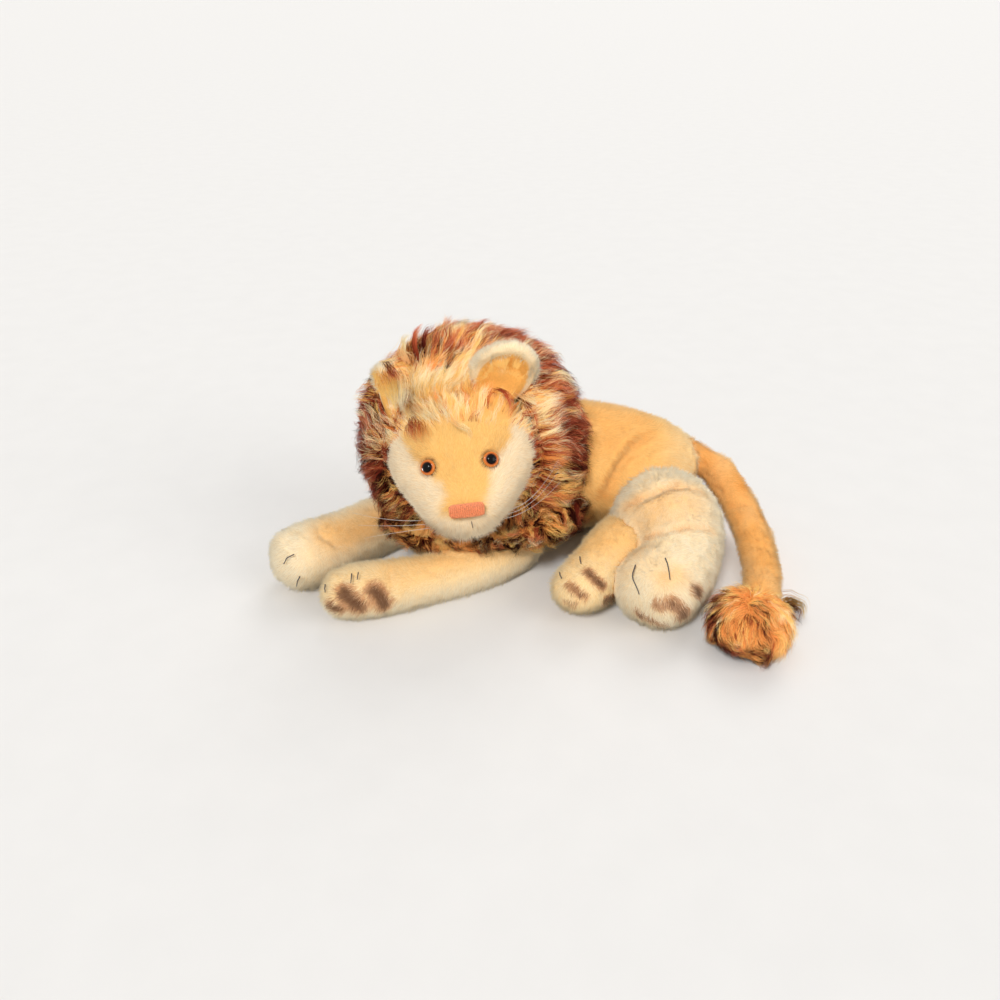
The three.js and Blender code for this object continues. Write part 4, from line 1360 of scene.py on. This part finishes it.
def lathe(name, node, profile_mm, centre, axis, material):
    side = unit(np.cross(axis, UP))
    circle = circles(side, np.cross(axis, side), LATHE_SIDES)
    rings = np.array([centre + (axis * height + circle * radius) * MM for radius, height in profile_mm])
    return stand_in(name, node, round_mesh(name, [rings]), material)


def turned_to(axis, direction):
    return axis * np.sign(axis @ direction)


# Glass eyes: an orange ring, darker at the pupil, about a black pupil
iris = Surface("amber_glass", {"Roughness": 0.12, "Specular IOR Level": 0.3})
iris.mottled("iris_colour", iris.noise(1800, 2), 0.85, 1.1)
AMBER = iris.material
BLACK = rgb(8, 5, 5)
BLACK_GLASS = plain_material("black_glass", BLACK, 0.06, scale=2500, contrast=0.3, bump=0.01, gloss=0.15)

# Profiles as radius and height
IRIS_PROFILE = [(3.8, 0), (4.0, 0.35), (4.05, 0.9), (3.95, 1.3), (3.7, 1.65), (3.3, 1.85), (2.9, 1.9),
                (2.5, 1.6)]
PUPIL_PROFILE = [(2.3, 0.9), (2.5, 1.3), (2.48, 1.7), (2.3, 2.05), (1.85, 2.32), (1.3, 2.5), (0.7, 2.6),
                 (0.2, 2.62)]
IRIS_RADII = [2.5, 2.8, 3.3, 4.1]
IRIS_TINTS = np.array([rgb(50, 18, 6), rgb(140, 62, 20), rgb(206, 106, 36), rgb(226, 134, 56)])
for side in SIDES:
    eye_points = vertices_of(NODES[f"{side}_eye"].data)
    centre, axes = spread_of(eye_points)
    gaze = turned_to(axes[:, 0], vertices_of(NODES[f"{side}_pupil"].data).mean(0) - centre)
    centre = centre + gaze * ((eye_points @ gaze).min() - centre @ gaze)
    eye = lathe(f"{side}_eye_glass", f"{side}_eye", IRIS_PROFILE, centre, gaze, AMBER)
    reach = np.linalg.norm(np.cross(vertices_of(eye.data) - centre, gaze), axis=1) / MM
    set_colours(eye.data, "iris_colour", between(reach, IRIS_RADII, IRIS_TINTS))
    lathe(f"{side}_pupil_glass", f"{side}_pupil", PUPIL_PROFILE, centre, gaze, BLACK_GLASS)

# Thread pieces
NOSE_THREAD = plain_material("nose_thread", rgb(222, 130, 84), 0.5, scale=1900, contrast=0.32, bump=0.4)
NYLON = plain_material("nylon_thread", rgb(206, 198, 188), 0.35, scale=3000, contrast=0.1, bump=0.05)
MOUTH_THREAD = plain_material("mouth_thread", rgb(112, 84, 70), 0.65, scale=3000, contrast=0.35, bump=0.3)
CLAW_THREAD = plain_material("claw_thread", rgb(62, 56, 60), 0.65, scale=3000, contrast=0.35, bump=0.3)
STEEL = plain_material("steel", rgb(150, 152, 156), 0.32, metallic=1.0, scale=900, contrast=0.12, bump=0.05)
HARDBOARD = plain_material("hardboard", rgb(134, 96, 64), 0.8, scale=500, contrast=0.2, bump=0.2)
THREAD_RINGS = 9
WHISKER_RADII = (0.13, 0.045)
CLAW_RADII = (0.34, 0.26)
MOUTH_RADII = (0.26, 0.26)

# Nose: upright satin stitches laid side by side over the CAD nose
NOSE_ROWS = 20
NOSE_THREAD_RADIUS = 0.5 * MM
NOSE_SPAN = 0.95
NOSE_TALL = 0.92
STITCH_SLANT = 0.3
STITCH_POINTS = 9
STITCH_SINK = 0.15 * MM
STITCH_TUCK = 0.5 * MM
BEFORE_NOSE = 6 * MM
nose_mesh = NODES["nose"].data
nose_points = vertices_of(nose_mesh)
nose_middle, axes = spread_of(nose_points)
nose_out = turned_to(axes[:, 0], from_head_direction(np.array([0, -1, 0])))
nose_across = turned_to(axes[:, 2], np.array([1, 0, 0]))
nose_up = turned_to(np.cross(nose_out, nose_across), UP)
nose_tree = tree_of(nose_points, nose_mesh)
local = (nose_points - nose_middle) @ np.stack([nose_across, nose_up], 1)
wide, high = np.abs(local).max(0)
stitches = []
for x in np.linspace(-NOSE_SPAN, NOSE_SPAN, NOSE_ROWS):
    tall = NOSE_TALL * high * (1 - 0.35 * abs(x) ** 5)
    line = []
    for y in np.linspace(-1, 1, STITCH_POINTS):
        slant = STITCH_SLANT * y * tall * (1 - x * x)
        spot = nose_middle + nose_across * (x * wide + slant) + nose_up * y * tall
        hit = nose_tree.ray_cast(Vector(spot + nose_out * BEFORE_NOSE), Vector(-nose_out))[0]
        if hit is not None:
            depth = STITCH_SINK + (STITCH_TUCK if abs(y) > 0.99 else 0)
            line.append(np.array(hit) - nose_out * depth)
    if len(line) > 3:
        stitches.append(tube(np.array(line), np.full(len(line), NOSE_THREAD_RADIUS)))
stand_in("nose_core", "nose", nose_mesh.copy(), NOSE_THREAD)
stand_in("nose_stitches", "nose", round_mesh("nose_stitches", stitches), NOSE_THREAD)


def thread_along(node, radii, material):
    """A finer thread along the middle of a CAD thread."""
    points = vertices_of(NODES[node].data)
    middle, axes = spread_of(points)
    reach = (points - middle) @ turned_to(axes[:, 2], middle - HEAD_CENTRE)
    ends = np.linspace(reach.min(), reach.max(), THREAD_RINGS + 1)
    group = np.clip(np.digitize(reach, ends) - 1, 0, THREAD_RINGS - 1)
    centres = np.array([points[group == k].mean(0) for k in range(THREAD_RINGS) if (group == k).any()])
    name = f"{node}_thread"
    rings = tube(centres, np.linspace(*radii, len(centres)) * MM, 6)
    stand_in(name, node, round_mesh(name, [rings]), material)


for node in NODES:
    if "_whisker_" in node:
        thread_along(node, WHISKER_RADII, NYLON)
    if "_claw_" in node:
        thread_along(node, CLAW_RADII, CLAW_THREAD)
thread_along("mouth_stitch", MOUTH_RADII, MOUTH_THREAD)

# Pieces that keep their CAD solids
KEPT_MATERIALS = {"steel": STEEL, "hardboard": HARDBOARD}
for node, obj in NODES.items():
    if SLOT_OF[node] in KEPT_MATERIALS:
        obj.data.materials.clear()
        obj.data.materials.append(KEPT_MATERIALS[SLOT_OF[node]])
        shade_smooth(obj.data)

# Floor, light and camera
STAGE_COLOUR = rgb(226, 224, 221)
STAGE_REACH = 40.0
BACKDROP_LIFT = 1.22
AMBIENT_STRENGTH = 0.42
floor_mesh = bpy.data.meshes.new("floor")
corners = [(x * STAGE_REACH, y * STAGE_REACH, 0) for x, y in ((-1, -1), (1, -1), (1, 1), (-1, 1))]
floor_mesh.from_pydata(corners, [], [(0, 1, 2, 3)])
floor_mesh.materials.append(plain_material("floor", STAGE_COLOUR, 0.9, scale=40, contrast=0.01, bump=0))
floor = link(bpy.data.objects.new("floor", floor_mesh))
floor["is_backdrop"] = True


def sun(name, source, power, softness):
    data = bpy.data.lights.new(name, "SUN")
    data.energy = power
    data.angle = math.radians(softness)
    obj = link(bpy.data.objects.new(name, data))
    obj.rotation_euler = (-Vector(source)).to_track_quat("-Z", "Y").to_euler()


def larger_of(first, second):
    pick = nodes.new("ShaderNodeMath")
    pick.operation = "MAXIMUM"
    links.new(first, pick.inputs[0])
    links.new(second, pick.inputs[1])
    return pick.outputs[0]


sun("key", (-0.4, -0.85, 1.05), 1.95, 14)
sun("fill", (0.9, -0.45, 0.5), 0.95, 40)
sun("rim", (0.3, 0.9, 0.8), 0.75, 30)

world = bpy.data.worlds.new("studio")
world.use_nodes = True
nodes, links = world.node_tree.nodes, world.node_tree.links
ambient = nodes["Background"]
ambient.inputs["Color"].default_value = (1, 1, 1, 1)
ambient.inputs["Strength"].default_value = AMBIENT_STRENGTH
backdrop = nodes.new("ShaderNodeBackground")
backdrop.inputs["Color"].default_value = (*(STAGE_COLOUR * BACKDROP_LIFT), 1)
seen = nodes.new("ShaderNodeLightPath").outputs
shown = larger_of(seen["Is Camera Ray"], seen["Is Glossy Ray"])
blend = nodes.new("ShaderNodeMixShader")
links.new(larger_of(shown, seen["Is Transmission Ray"]), blend.inputs[0])
links.new(ambient.outputs[0], blend.inputs[1])
links.new(backdrop.outputs[0], blend.inputs[2])
links.new(blend.outputs[0], nodes["World Output"].inputs["Surface"])
bpy.context.scene.world = world

CAMERA_PLACE = place([13, -458, 300])
CAMERA_PITCH = math.radians(60)
SENSOR_WIDTH = 36
FOCAL_SHARE = 0.909
camera_data = bpy.data.cameras.new("camera")
camera_data.sensor_width = SENSOR_WIDTH
camera_data.lens = SENSOR_WIDTH * FOCAL_SHARE
camera_data.clip_start = 10 * MM
camera = link(bpy.data.objects.new("camera", camera_data))
camera.location = CAMERA_PLACE
camera.rotation_euler = (CAMERA_PITCH, 0, 0)
bpy.context.scene.camera = camera
bpy.context.scene.view_settings.view_transform = "Standard"

low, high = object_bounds()
